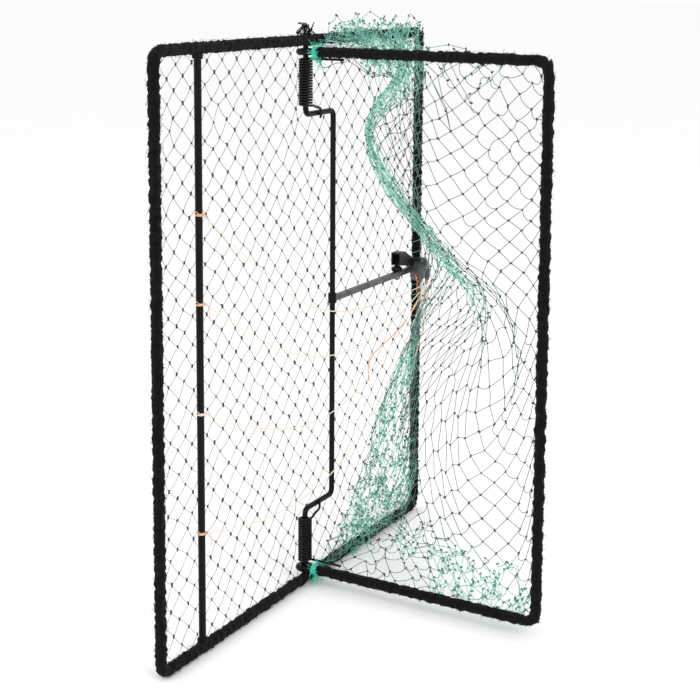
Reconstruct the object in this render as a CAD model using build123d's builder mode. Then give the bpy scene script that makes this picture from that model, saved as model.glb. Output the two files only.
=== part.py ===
from build123d import *
import os
from math import cos, radians, sin, tan

os.makedirs("parts", exist_ok=True)

# A folding spring net trap, stood on edge and held half open. The hinge axis is Z, through the
# origin. The flat base frame lies in the XZ plane with its trip bar half at -X and its latch half
# at +X, and the bow is swung out towards -Y.

# Driving dimensions, in millimetres and degrees
frame_width = 500.0
frame_height = 500.0
rod_diameter = 6.0
wrap_thickness = 1.8
bend_radius = 10.0
bow_angle = -98.0
bow_setback = 7.0
bow_bare_length = 14.0
wrap_clearance = 0.4

axle_diameter = 5.0
crank_offset = 54.0
crank_arm_inset = 65.0
crank_bend_radius = 5.5
eye_clearance = 0.08

spring_wire = 2.2
spring_play = 1.8
spring_turns = 16
spring_leg_length = 36.0
spring_hook_reach = 22.0
spring_hook_drop = 11.0

trip_bar_diameter = 6.0
trip_bar_offset = 182.0
tie_heights = (364.0, 292.0, 202.0, 102.0)
tie_width = 2.4
tie_thickness = 0.9

brace_height = 257.0
brace_side = 5.0
brace_shift = -1.5
collar_thickness = 1.5
collar_length = 9.0

latch_plate = 2.0
latch_inset = 24.2
latch_top = 10.0
latch_bottom = 10.0
latch_depth = 16.0
ear_length = 8.0
pin_diameter = 3.0
pin_height = 7.0
pin_inset = 6.0
line_hole_diameter = 3.2
lever_sheet = 1.5
lever_play = 0.3
lever_clearance = 1.0
tail_length = 33.0
tail_rise = 11.5
tail_width = 10.0
tail_flange = 12.5
tail_flat = 12.0
nose_reach = 13.0
nose_drop = 18.0

screw_diameter = 3.0
screw_clearance = 0.1
screw_inset = 51.0
knob_diameter = 10.6
knob_height = 4.5
nut_size = 5.5
nut_height = 2.4

net_thickness = 0.6
net_setback = 4.1
net_play = 1.5
net_notch = 20.0
bag_thickness = 0.8
bag_gap = 1.2
thread_diameter = 1.0

# Places worked out from the driving dimensions
rod_radius = rod_diameter / 2
axle_radius = axle_diameter / 2
wrap_radius = rod_radius + wrap_thickness
rail_x = frame_width / 2 - wrap_radius
top_z = frame_height - wrap_radius
bottom_z = wrap_radius
middle_z = frame_height / 2
bow_drop = 2 * wrap_radius + wrap_clearance
bow_top_z = top_z - bow_drop
bow_bottom_z = bottom_z + bow_drop
bow_reach = rail_x - bow_setback
crank_top_z = top_z - crank_arm_inset
crank_bottom_z = bottom_z + crank_arm_inset
eye_radius = axle_radius + eye_clearance + rod_radius
bow_direction = Vector(cos(radians(bow_angle)), sin(radians(bow_angle)), 0)
bow_plane = Plane(origin=(0, 0, 0), x_dir=bow_direction, z_dir=bow_direction.cross(Vector(0, 0, 1)))
spring_radius = axle_radius + spring_play + spring_wire / 2


def save(piece, label):
    """Name a finished piece and write it."""
    piece.part.label = label
    export_step(piece.part, f"parts/{label}.step")


def tube(start, end):
    """A straight length of the cloth winding round a rod, between two points."""
    run = Vector(*end) - Vector(*start)
    with BuildPart() as sleeve:
        with BuildSketch(Plane(origin=start, z_dir=run)):
            Circle(wrap_radius)
            Circle(rod_radius, mode=Mode.SUBTRACT)
        extrude(amount=run.length)
    return sleeve


def elbow(plane, centre, start_angle):
    """The cloth winding round one bent corner, a quarter turn in the given plane."""
    with BuildPart() as bend:
        with BuildLine(plane) as route:
            CenterArc(centre, bend_radius, start_angle, 90)
        with BuildSketch(Plane(origin=route.wire() @ 0, z_dir=route.wire() % 0)):
            Circle(wrap_radius)
            Circle(rod_radius, mode=Mode.SUBTRACT)
        sweep(path=route.wire())
    return bend


# Base frame: one rod bent to a closed rectangle, swept as one half and mirrored
with BuildPart() as base_frame_rod:
    with BuildLine(Plane.XZ) as base_route:
        FilletPolyline(
            (0, bottom_z), (rail_x, bottom_z), (rail_x, top_z), (0, top_z),
            radius=bend_radius,
        )
    with BuildSketch(Plane(origin=(0, 0, bottom_z), z_dir=(1, 0, 0))):
        Circle(rod_radius)
    sweep(path=base_route.wire())
    mirror(about=Plane.YZ)
save(base_frame_rod, "base_frame_rod")

# Cloth winding on the base frame, cut where the axle, the trip bar and the brace reach the rod
straight_x = rail_x - bend_radius
for label, height in (("base_wrap_top", top_z), ("base_wrap_bottom", bottom_z)):
    with BuildPart() as base_wrap:
        add(tube((-straight_x, 0, height), (straight_x, 0, height)).part)
        with Locations((0, 0, middle_z)):
            Cylinder(axle_radius, top_z - bottom_z, mode=Mode.SUBTRACT)
        with Locations((-trip_bar_offset, 0, middle_z)):
            Cylinder(trip_bar_diameter / 2, top_z - bottom_z, mode=Mode.SUBTRACT)
    save(base_wrap, label)

with BuildPart() as base_wrap_near:
    add(tube((-rail_x, 0, bottom_z + bend_radius), (-rail_x, 0, top_z - bend_radius)).part)
save(base_wrap_near, "base_wrap_near")

with BuildPart() as base_wrap_far:
    add(tube((rail_x, 0, bottom_z + bend_radius), (rail_x, 0, top_z - bend_radius)).part)
    with Locations((rail_x - wrap_radius, brace_shift, brace_height)):
        Box(2 * wrap_radius, brace_side, brace_side, mode=Mode.SUBTRACT)
save(base_wrap_far, "base_wrap_far")

with BuildPart() as base_corner_wraps:
    add(elbow(Plane.XZ, (straight_x, top_z - bend_radius), 0).part)
    add(elbow(Plane.XZ, (-straight_x, top_z - bend_radius), 90).part)
    add(elbow(Plane.XZ, (-straight_x, bottom_z + bend_radius), 180).part)
    add(elbow(Plane.XZ, (straight_x, bottom_z + bend_radius), 270).part)
save(base_corner_wraps, "base_corner_wraps")

# Floor net, a flat sheet tied behind the base frame and open round both ends of the hinge
net_edge = (wrap_radius**2 - net_setback**2) ** 0.5
notch_height = crank_arm_inset + net_play
with BuildPart() as floor_net:
    with BuildSketch(Plane.XZ.offset(-net_setback - net_thickness)):
        with Locations((0, middle_z)):
            RectangleRounded(
                2 * (rail_x - net_edge), top_z - bottom_z - 2 * net_edge, bend_radius - net_edge
            )
        with Locations((0, top_z - notch_height / 2), (0, bottom_z + notch_height / 2)):
            Rectangle(2 * net_notch, notch_height, mode=Mode.SUBTRACT)
    extrude(amount=net_thickness)
save(floor_net, "floor_net")

# Trip bar, welded across the near half, and the thread ties wound on it
with BuildPart() as trip_bar:
    with Locations((-trip_bar_offset, 0, middle_z)):
        Cylinder(trip_bar_diameter / 2, top_z - bottom_z)
    with Locations((-trip_bar_offset, 0, top_z), (-trip_bar_offset, 0, bottom_z)):
        Cylinder(rod_radius, 4 * rod_diameter, rotation=(0, 90, 0), mode=Mode.SUBTRACT)
save(trip_bar, "trip_bar")

with BuildPart() as trip_ties:
    with Locations(*[(-trip_bar_offset, 0, height) for height in tie_heights]):
        Cylinder(trip_bar_diameter / 2 + tie_thickness, tie_width)
        Cylinder(trip_bar_diameter / 2, tie_width, mode=Mode.SUBTRACT)
save(trip_ties, "trip_ties")

# Cranked axle: the hinge pin of both bow ends, offset towards the latch half in the middle
with BuildPart() as crank_axle:
    with BuildLine(Plane.XZ) as crank_route:
        FilletPolyline(
            (0, top_z), (0, crank_top_z), (crank_offset, crank_top_z),
            (crank_offset, crank_bottom_z), (0, crank_bottom_z), (0, bottom_z),
            radius=crank_bend_radius,
        )
    with BuildSketch(Plane(origin=(0, 0, top_z), z_dir=(0, 0, -1))):
        Circle(axle_radius)
    sweep(path=crank_route.wire())
    with Locations((0, 0, top_z), (0, 0, bottom_z)):
        Cylinder(rod_radius, 4 * rod_diameter, rotation=(0, 90, 0), mode=Mode.SUBTRACT)
save(crank_axle, "crank_axle")

# Bow: one rod bent to a U, each end closed into an eye round the axle
with BuildPart() as bow_rod:
    with BuildLine(bow_plane) as bow_route:
        FilletPolyline(
            (eye_radius, bow_top_z), (bow_reach, bow_top_z),
            (bow_reach, bow_bottom_z), (eye_radius, bow_bottom_z),
            radius=bend_radius,
        )
    with BuildSketch(Plane(origin=bow_route.wire() @ 0, z_dir=bow_direction)):
        Circle(rod_radius)
    sweep(path=bow_route.wire())
    with Locations((0, 0, bow_top_z), (0, 0, bow_bottom_z)):
        Torus(eye_radius, rod_radius)
save(bow_rod, "bow_rod")


def on_bow(along, height):
    """A point in the bow's plane, at a distance from the hinge axis."""
    return tuple(bow_direction * along + Vector(0, 0, height))


# Cloth winding on the bow
bow_straight = bow_reach - bend_radius
for label, height in (("bow_wrap_top", bow_top_z), ("bow_wrap_bottom", bow_bottom_z)):
    save(tube(on_bow(bow_bare_length, height), on_bow(bow_straight, height)), label)

bow_side_start = on_bow(bow_reach, bow_bottom_z + bend_radius)
bow_side_end = on_bow(bow_reach, bow_top_z - bend_radius)
save(tube(bow_side_start, bow_side_end), "bow_wrap_side")

with BuildPart() as bow_corner_wraps:
    add(elbow(bow_plane, (bow_straight, bow_top_z - bend_radius), 0).part)
    add(elbow(bow_plane, (bow_straight, bow_bottom_z + bend_radius), 270).part)
save(bow_corner_wraps, "bow_corner_wraps")

# Twine lashed on the bare rod beside each eye
lashing_start = eye_radius + rod_radius + 0.4
lashing_thickness = 1.3
for label, height in (("bow_lashing_top", bow_top_z), ("bow_lashing_bottom", bow_bottom_z)):
    with BuildPart() as lashing:
        with BuildSketch(Plane(origin=on_bow(lashing_start, height), z_dir=bow_direction)):
            Circle(rod_radius + lashing_thickness)
            Circle(rod_radius, mode=Mode.SUBTRACT)
        extrude(amount=bow_bare_length - lashing_start)
    save(lashing, label)

# Torsion springs round the axle: the inner leg hooks in front of the crank's arm and the outer leg
# lies along the bow. The lower one is the mirror image of the upper one.
coil_top_z = bow_top_z - wrap_radius - wrap_clearance - spring_wire / 2
coil_bottom_z = crank_top_z + crank_bend_radius + spring_wire / 2 + 0.4
coil_start_angle = -90.0
coil_end_angle = bow_angle + 90.0
coil_turns = spring_turns + (coil_start_angle - coil_end_angle + 360.0) / 360.0
hook_y = -(axle_radius + spring_wire / 2 + 0.15)
with BuildPart() as spring_coil:
    with BuildLine(Plane.XY.offset(coil_bottom_z)) as coil:
        Helix(
            pitch=(coil_top_z - coil_bottom_z) / coil_turns,
            height=coil_top_z - coil_bottom_z,
            radius=spring_radius,
            lefthand=True,
        )
    with BuildSketch(Plane(origin=coil.wire() @ 0, z_dir=coil.wire() % 0)):
        Circle(spring_wire / 2)
    sweep(path=coil.wire(), is_frenet=True)

coil_exit = Vector(spring_radius, 0, coil_top_z).rotate(Axis.Z, coil_end_angle)
with BuildPart() as upper_spring:
    add(spring_coil.part, rotation=(0, 0, coil_start_angle))
    with BuildLine() as inner_leg:
        FilletPolyline(
            (0, -spring_radius, coil_bottom_z),
            (spring_hook_reach / 2, -spring_radius, coil_bottom_z),
            (spring_hook_reach, hook_y, coil_bottom_z),
            (spring_hook_reach, hook_y, coil_bottom_z - spring_hook_drop),
            radius=spring_wire,
        )
    with BuildSketch(Plane(origin=inner_leg.wire() @ 0, z_dir=inner_leg.wire() % 0)):
        Circle(spring_wire / 2)
    sweep(path=inner_leg.wire())
    with BuildSketch(Plane(origin=coil_exit, z_dir=bow_direction)):
        Circle(spring_wire / 2)
    extrude(amount=spring_leg_length)
save(upper_spring, "upper_spring")

with BuildPart() as lower_spring:
    mirror(upper_spring.part, about=Plane.XY.offset(middle_z))
save(lower_spring, "lower_spring")

# Brace from the crank's middle to the latch-side rail, with its collar on the crank
with BuildPart() as brace_collar:
    with Locations((crank_offset, 0, brace_height)):
        Cylinder(axle_radius + collar_thickness, collar_length)
        Cylinder(axle_radius, collar_length, mode=Mode.SUBTRACT)
save(brace_collar, "brace_collar")

brace_top_z = brace_height + brace_side / 2
brace_front_y = brace_shift - brace_side / 2
screw_x = rail_x - screw_inset
with BuildPart() as brace_arm:
    with Locations(((crank_offset + rail_x) / 2, brace_shift, brace_height)):
        Box(rail_x - crank_offset, brace_side, brace_side)
    with Locations((crank_offset, 0, brace_height)):
        Cylinder(axle_radius + collar_thickness, 2 * brace_side, mode=Mode.SUBTRACT)
    with Locations((rail_x, 0, brace_height)):
        Cylinder(rod_radius, 2 * brace_side, mode=Mode.SUBTRACT)
    with Locations((screw_x, brace_shift, brace_height)):
        Cylinder(screw_diameter / 2 + screw_clearance, 2 * brace_side, mode=Mode.SUBTRACT)
save(brace_arm, "brace_arm")

# Latch bracket: a folded plate on the brace, with two ears for the lever's pin
web_x = rail_x - latch_inset
web_right_x = web_x + latch_plate
web_front_y = brace_front_y - latch_depth
plate_low_z = brace_height - latch_bottom
plate_high_z = brace_height + latch_top
pin_x = web_x + pin_inset
pin_z = brace_height + pin_height
hole_y = brace_front_y - latch_depth * 0.4
hole_z = brace_height - latch_bottom * 0.35
with BuildPart() as latch_bracket:
    with BuildSketch(Plane.YZ.offset(web_x)):
        with BuildLine():
            Polyline(
                (brace_front_y, plate_low_z + 3), (brace_front_y, plate_high_z),
                (web_front_y + 5, plate_high_z), (web_front_y, plate_high_z - 5),
                (web_front_y, plate_low_z + 4), (web_front_y + 4, plate_low_z),
                (brace_front_y - 4, plate_low_z), (brace_front_y, plate_low_z + 3),
            )
        make_face()
        with Locations((hole_y, hole_z)):
            Circle(line_hole_diameter / 2, mode=Mode.SUBTRACT)
    extrude(amount=latch_plate)
    with BuildSketch(Plane.XZ.offset(-brace_front_y)):
        with BuildLine():
            Polyline(
                (web_x - 14, brace_height), (web_x, plate_high_z - 3),
                (web_right_x + ear_length, plate_high_z - 0.5),
                (web_right_x + ear_length, brace_height + 1),
                (web_x, brace_height - 2), (web_x - 14, brace_height),
            )
        make_face()
    extrude(amount=latch_plate)
    with BuildSketch(Plane.XZ.offset(-web_front_y - latch_plate)):
        with BuildLine():
            Polyline(
                (web_x, plate_high_z - 5), (web_right_x + ear_length - 3, plate_high_z - 0.5),
                (web_right_x + ear_length, plate_high_z - 3),
                (web_right_x + ear_length, brace_height + 2),
                (web_x, brace_height - 2), (web_x, plate_high_z - 5),
            )
        make_face()
    extrude(amount=latch_plate)
    with BuildSketch(Plane.XZ.offset(-brace_front_y)):
        with Locations((pin_x, pin_z)):
            Circle(pin_diameter / 2)
    extrude(amount=latch_depth, mode=Mode.SUBTRACT)
save(latch_bracket, "latch_bracket")

pin_head = 1.2
with BuildPart() as latch_pin:
    with BuildSketch(Plane.XZ.offset(-brace_front_y)):
        with Locations((pin_x, pin_z)):
            Circle(pin_diameter / 2)
    extrude(amount=latch_depth)
    with BuildSketch(Plane.XZ.offset(-web_front_y)):
        with Locations((pin_x, pin_z)):
            Circle(pin_diameter / 2 + 1)
    extrude(amount=pin_head)
save(latch_pin, "latch_pin")

# Latch lever: a bent channel whose tail rises over the brace and whose nose hangs outside the
# place that the bow's side rail takes when the trap is set
lever_back_y = brace_front_y - latch_plate - lever_play
lever_front_y = web_front_y + latch_plate + lever_play
roof_z = plate_high_z + lever_clearance
tail_end_x = web_x - tail_length
tail_back_y = brace_shift + tail_width / 2 - 1.5
tail_start_x = web_x - 1
hub_left = pin_inset - latch_plate - 0.8
with BuildPart() as latch_lever:
    with BuildSketch(Plane.XZ.offset(-tail_back_y)):
        with BuildLine():
            Polyline(
                (tail_end_x, roof_z + tail_rise), (tail_end_x + tail_flat, roof_z + tail_rise),
                (tail_start_x, roof_z + lever_sheet), (tail_start_x, roof_z - 6),
                (tail_end_x, roof_z + tail_rise - tail_flange),
                (tail_end_x, roof_z + tail_rise),
            )
        make_face()
    extrude(amount=tail_width)
    with BuildSketch(Plane.XZ.offset(-tail_back_y + lever_sheet)):
        with BuildLine():
            Polyline(
                (tail_end_x, roof_z + tail_rise - lever_sheet),
                (tail_end_x + tail_flat, roof_z + tail_rise - lever_sheet),
                (tail_start_x, roof_z), (tail_start_x, roof_z - 7),
                (tail_end_x, roof_z + tail_rise - tail_flange - 1),
                (tail_end_x, roof_z + tail_rise - lever_sheet),
            )
        make_face()
    extrude(amount=tail_width - 2 * lever_sheet, mode=Mode.SUBTRACT)
    with BuildSketch(Plane.XY.offset(roof_z)):
        with BuildLine():
            Polyline(
                (tail_start_x - 5, lever_back_y), (pin_x + 4, lever_back_y),
                (pin_x + 4, lever_front_y), (tail_start_x - 2, lever_front_y),
                (tail_start_x - 5, lever_front_y + 4), (tail_start_x - 5, lever_back_y),
            )
        make_face()
    extrude(amount=lever_sheet)
    with BuildSketch(Plane.XZ.offset(-lever_front_y - lever_sheet)):
        with BuildLine():
            Polyline(
                (pin_x - hub_left, roof_z + 0.5), (pin_x - hub_left, pin_z - 1),
                (pin_x, pin_z - 8), (pin_x + nose_reach - 8, pin_z - nose_drop),
                (pin_x + nose_reach - 4, pin_z - nose_drop - 1),
                (pin_x + nose_reach, pin_z - nose_drop + 3),
                (pin_x + nose_reach, pin_z - nose_drop + 10),
                (pin_x + nose_reach - 4, pin_z - 2), (pin_x + 4, roof_z + 0.5),
                (pin_x - hub_left, roof_z + 0.5),
            )
        make_face()
    extrude(amount=lever_sheet)
    with BuildSketch(Plane.XZ.offset(-lever_back_y)):
        with BuildLine():
            Polyline(
                (pin_x - hub_left, roof_z + 0.5), (pin_x - hub_left, pin_z - 1),
                (pin_x - 1, pin_z - hub_left), (pin_x + 1, pin_z - hub_left),
                (pin_x + 4, pin_z), (pin_x + 4, roof_z + 0.5), (pin_x - hub_left, roof_z + 0.5),
            )
        make_face()
    extrude(amount=lever_sheet)
    with BuildSketch(Plane.XZ.offset(-brace_front_y)):
        with Locations((pin_x, pin_z)):
            Circle(pin_diameter / 2 + 0.06)
    extrude(amount=latch_depth, mode=Mode.SUBTRACT)
save(latch_lever, "latch_lever")

# Adjusting screw with its knob, which stands on the brace under the lever's tail, and its nut
screw_foot_z = brace_height - brace_side / 2 - nut_height - 1
tip_z = roof_z + tail_rise - lever_sheet - 0.3
knob_z = brace_top_z + 0.3
with BuildPart() as adjusting_screw:
    with BuildSketch(Plane.XY.offset(screw_foot_z)):
        with Locations((screw_x, brace_shift)):
            Circle(screw_diameter / 2)
    extrude(amount=tip_z - screw_foot_z)
    with BuildSketch(Plane.XY.offset(knob_z)):
        with Locations((screw_x, brace_shift)):
            Circle(knob_diameter / 2)
    extrude(amount=knob_height)
    with BuildSketch(Plane.XY.offset(knob_z + knob_height)):
        with Locations((screw_x, brace_shift)):
            Circle(knob_diameter / 4)
    extrude(amount=knob_height / 3)
save(adjusting_screw, "adjusting_screw")

with BuildPart() as adjusting_nut:
    with BuildSketch(Plane.XY.offset(brace_height - brace_side / 2 - nut_height)):
        with Locations((screw_x, brace_shift)):
            RegularPolygon(nut_size / 2, 6, major_radius=False)
            Circle(screw_diameter / 2 + screw_clearance, mode=Mode.SUBTRACT)
    extrude(amount=nut_height)
save(adjusting_nut, "adjusting_nut")

# Knot that gathers the trip threads under the lever's nose
knot_radius = 2.0
knot_x = pin_x + nose_reach - 6
knot_y = lever_front_y + lever_sheet / 2
knot_z = pin_z - nose_drop - 1 - knot_radius
with BuildPart() as trip_knot:
    with Locations((knot_x, knot_y, knot_z)):
        Sphere(knot_radius)
save(trip_knot, "trip_knot")

# Bag net as a plain shell from the latch half to the bow, open towards the hinge
bag_far = rail_x
bag_bow = bow_direction * (bow_reach - wrap_radius - bag_gap)
bag_near = bow_direction.cross(Vector(0, 0, -1)) * (wrap_radius + bag_gap)
bag_corner = bag_bow + bag_near * 0.6
bag_points = (
    (16, -(wrap_radius + bag_gap)), (bag_far, -(wrap_radius + bag_gap)),
    (bag_far, web_front_y - 8), (bag_corner.X, bag_corner.Y),
    (bag_near.X + bow_direction.X * 22, bag_near.Y + bow_direction.Y * 22),
)
bag_top_z = coil_top_z - spring_wire / 2 - bag_gap
bag_bottom_z = frame_height - bag_top_z
with BuildPart() as bag_net:
    with BuildSketch(Plane.XY.offset(bag_bottom_z)):
        Polygon(*bag_points, align=None)
    extrude(amount=bag_thickness)
    with BuildSketch(Plane.XY.offset(bag_top_z - bag_thickness)):
        Polygon(*bag_points, align=None)
    extrude(amount=bag_thickness)
    wall = bag_corner - Vector(bag_far, web_front_y - 8, 0)
    inward = wall.normalized().cross(Vector(0, 0, 1)) * bag_thickness
    with BuildSketch(Plane.XY.offset(bag_bottom_z)):
        Polygon(
            (bag_far, web_front_y - 8), (bag_corner.X, bag_corner.Y),
            (bag_corner.X + inward.X, bag_corner.Y + inward.Y),
            (bag_far + inward.X, web_front_y - 8 + inward.Y),
            align=None,
        )
    extrude(amount=bag_top_z - bag_bottom_z)
save(bag_net, "bag_net")


def cord(label, points):
    """A cord as straight runs joined by tangent arcs, each as large as its two runs allow."""
    stops = [Vector(*point) for point in points]
    radii = []
    for before, here, after in zip(stops, stops[1:], stops[2:]):
        into = here - before
        away = after - here
        turn = radians(into.get_angle(away))
        radii.append(0.45 * min(into.length, away.length) / tan(turn / 2))
    with BuildPart() as line:
        with BuildLine() as route:
            FilletPolyline(*points, radius=radii)
        with BuildSketch(Plane(origin=route.wire() @ 0, z_dir=route.wire() % 0)):
            Circle(thread_diameter / 2)
        sweep(path=route.wire())
    length = route.wire().length
    section = Circle(thread_diameter / 2, mode=Mode.PRIVATE).area
    print(label, "length", round(length, 1), "volume share", round(line.part.volume / (section * length), 4),
          "radii", [round(radius, 1) for radius in radii])
    save(line, label)


# Trip threads, slack from the ties on the trip bar to the knot under the latch
cord("trip_thread_1", [
    (-178.0, -2.6, 363.5), (-140.0, -7.5, 334.0), (-96.0, -10.5, 304.5), (-46.0, -9.5, 277.0),
    (4.0, -7.6, 256.5), (54.0, -6.2, 243.8), (104.0, -6.6, 238.4), (150.0, -8.6, 237.0),
    (194.0, -12.0, 238.2), (228.0, -15.4, 241.6),
])
cord("trip_thread_2", [
    (-178.0, -2.6, 291.5), (-138.0, -6.5, 268.5), (-94.0, -9.0, 246.0), (-46.0, -8.6, 226.0),
    (4.0, -7.0, 211.5), (54.0, -5.6, 203.6), (102.0, -6.4, 202.6), (146.0, -9.0, 209.0),
    (190.0, -12.6, 222.0), (227.6, -16.2, 239.2),
])
cord("trip_thread_3", [
    (-178.0, -2.6, 201.5), (-136.0, -5.6, 184.0), (-92.0, -8.0, 168.6), (-44.0, -8.0, 156.6),
    (6.0, -6.6, 150.4), (54.0, -5.4, 151.4), (100.0, -6.4, 161.0), (144.0, -9.4, 180.4),
    (186.0, -13.6, 208.0), (226.0, -17.4, 237.8),
])
cord("trip_thread_4", [
    (-178.0, -2.6, 101.5), (-136.0, -5.6, 93.4), (-92.0, -8.0, 88.0), (-44.0, -8.0, 85.6),
    (6.0, -6.6, 87.0), (54.0, -5.4, 94.8), (98.0, -6.8, 112.4), (136.0, -9.6, 139.0),
    (170.0, -12.8, 170.4), (202.0, -15.8, 205.0), (229.0, -18.6, 237.0),
])

# Loose tails of thread that hang from the knot
cord("thread_tail_long", [
    (236.0, -16.6, 238.6), (224.0, -14.6, 229.4), (208.0, -12.6, 217.8), (188.0, -11.0, 206.8),
    (164.0, -9.6, 199.0), (141.0, -8.8, 194.4), (121.0, -8.4, 188.6), (112.0, -8.6, 178.0),
    (115.0, -9.4, 166.0),
])
cord("thread_tail_short", [
    (239.0, -17.0, 239.2), (233.0, -18.4, 222.0), (222.0, -19.0, 201.6), (209.0, -18.2, 179.0),
    (197.0, -16.8, 155.0), (189.0, -15.6, 131.0), (186.0, -15.0, 110.0),
])
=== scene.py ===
import bmesh
import bpy
import math
import random
import numpy as np
from mathutils import Matrix, Vector, noise


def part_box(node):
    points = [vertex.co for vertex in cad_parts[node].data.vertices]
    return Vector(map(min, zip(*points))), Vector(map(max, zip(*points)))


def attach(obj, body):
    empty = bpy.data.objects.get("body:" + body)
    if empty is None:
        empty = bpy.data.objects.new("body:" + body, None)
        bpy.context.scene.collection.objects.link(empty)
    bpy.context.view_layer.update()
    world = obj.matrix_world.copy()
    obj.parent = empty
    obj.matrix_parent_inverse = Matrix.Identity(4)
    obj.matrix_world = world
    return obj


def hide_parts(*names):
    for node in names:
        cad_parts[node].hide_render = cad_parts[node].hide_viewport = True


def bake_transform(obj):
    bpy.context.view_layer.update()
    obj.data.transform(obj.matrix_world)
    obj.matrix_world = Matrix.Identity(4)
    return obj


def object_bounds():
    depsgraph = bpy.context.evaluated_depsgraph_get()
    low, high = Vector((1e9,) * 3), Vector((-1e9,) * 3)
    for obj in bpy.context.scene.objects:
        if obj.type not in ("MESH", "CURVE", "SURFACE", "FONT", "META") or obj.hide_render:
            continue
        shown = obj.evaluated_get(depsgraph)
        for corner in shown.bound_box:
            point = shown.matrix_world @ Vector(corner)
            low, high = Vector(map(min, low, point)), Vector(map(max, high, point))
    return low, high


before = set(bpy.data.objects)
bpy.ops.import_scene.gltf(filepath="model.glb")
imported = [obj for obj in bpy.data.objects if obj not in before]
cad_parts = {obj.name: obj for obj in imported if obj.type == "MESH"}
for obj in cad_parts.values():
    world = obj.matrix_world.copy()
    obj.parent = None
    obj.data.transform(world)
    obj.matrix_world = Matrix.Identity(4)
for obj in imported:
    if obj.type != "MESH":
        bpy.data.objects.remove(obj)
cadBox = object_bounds()
print("frame loaded:", len(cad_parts), "nodes")


# small helpers

def middleOf(node):
    low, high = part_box(node)
    return (Vector(low) + Vector(high)) / 2


def sizeOf(node):
    low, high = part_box(node)
    return Vector(high) - Vector(low)


def colour(hexCode):
    parts = [int(hexCode[k:k + 2], 16) / 255 for k in (1, 3, 5)]
    return tuple(c / 12.92 if c <= 0.04045 else ((c + 0.055) / 1.055) ** 2.4 for c in parts) + (1.0,)


def addNode(tree, kind, settings=None, links=None):
    node = tree.nodes.new(kind)
    for key, value in (settings or {}).items():
        if isinstance(key, int) or key in node.inputs:
            node.inputs[key].default_value = value
        else:
            setattr(node, key, value)
    for key, source in (links or {}).items():
        tree.links.new(source, node.inputs[key])
    return node


def startMaterial(name, settings):
    material = bpy.data.materials.new(name)
    material.use_nodes = True
    shader = material.node_tree.nodes["Principled BSDF"]
    for key, value in settings.items():
        shader.inputs[key].default_value = value
    return material, material.node_tree, shader


def blendColours(tree, factor, first, second):
    mix = addNode(tree, "ShaderNodeMix", {"data_type": "RGBA", 6: colour(first), 7: colour(second)})
    tree.links.new(factor, mix.inputs[0])
    return mix.outputs[2]


def newPiece(name, points, faces, material, uvs=None, smooth=True):
    mesh = bpy.data.meshes.new(name)
    mesh.from_pydata([tuple(p) for p in points], [], faces)
    if uvs is not None:
        layer = mesh.uv_layers.new(name="UVMap")
        layer.data.foreach_set("uv", np.asarray(uvs, np.float32).ravel())
    mesh.materials.append(material)
    if smooth:
        mesh.polygons.foreach_set("use_smooth", [True] * len(mesh.polygons))
    mesh.update()
    piece = bpy.data.objects.new(name, mesh)
    bpy.context.scene.collection.objects.link(piece)
    return piece


def joinPieces(name, pieces):
    # one mesh from several, with their materials kept
    with bpy.context.temp_override(active_object=pieces[0], selected_editable_objects=pieces,
                                   object=pieces[0], selected_objects=pieces):
        bpy.ops.object.join()
    pieces[0].name = name
    pieces[0].data.name = name
    return pieces[0]


def tubeAlong(name, path, radius, sides, material, caps=True):
    # a round tube that follows a line of points; radius is a number or one number for each point
    path = np.asarray(path, float)
    count = len(path)
    radii = np.broadcast_to(np.asarray(radius, float), (count,))
    along = np.gradient(path, axis=0)
    along /= np.linalg.norm(along, axis=1)[:, None] + 1e-12
    side = np.cross(along[0], (0.13, 0.21, 1.0))
    if np.linalg.norm(side) < 0.1:
        side = np.cross(along[0], (1.0, 0.1, 0.0))
    sidesAt = np.empty_like(path)
    for k in range(count):
        side = side - along[k] * (side @ along[k])
        side = side / np.linalg.norm(side)
        sidesAt[k] = side
    upAt = np.cross(along, sidesAt)
    angles = np.arange(sides) * 2 * math.pi / sides
    ring = sidesAt[:, None, :] * np.cos(angles)[None, :, None] + upAt[:, None, :] * np.sin(angles)[None, :,
                                                                                                   None]
    points = (path[:, None, :] + ring * radii[:, None, None]).reshape(-1, 3)
    travel = np.concatenate([[0], np.cumsum(np.linalg.norm(np.diff(path, axis=0), axis=1))])
    faces, uvs = [], []
    for k in range(count - 1):
        for a in range(sides):
            b = (a + 1) % sides
            faces.append((k * sides + a, k * sides + b, (k + 1) * sides + b, (k + 1) * sides + a))
            uvs += [(a / sides, travel[k]), ((a + 1) / sides, travel[k]),
                    ((a + 1) / sides, travel[k + 1]), (a / sides, travel[k + 1])]
    if caps:
        faces.append(tuple(range(sides - 1, -1, -1)))
        uvs += [(0, travel[0])] * sides
        faces.append(tuple((count - 1) * sides + a for a in range(sides)))
        uvs += [(0, travel[-1])] * sides
    return newPiece(name, points, faces, material, uvs)


def smoothLine(points, each=8):
    # a rounded line through given points, for short wires and thread ends
    points = [Vector(p) for p in points]
    padded = [points[0] * 2 - points[1]] + points + [points[-1] * 2 - points[-2]]
    line = []
    for a, b, c, d in zip(padded, padded[1:], padded[2:], padded[3:]):
        for k in range(each):
            t = k / each
            line.append(0.5 * ((2 * b) + (c - a) * t + (2 * a - 5 * b + 4 * c - d) * t * t
                               + (3 * b - a - 3 * c + d) * t ** 3))
    return line + [points[-1]]


# sizes taken from the frame

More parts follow.
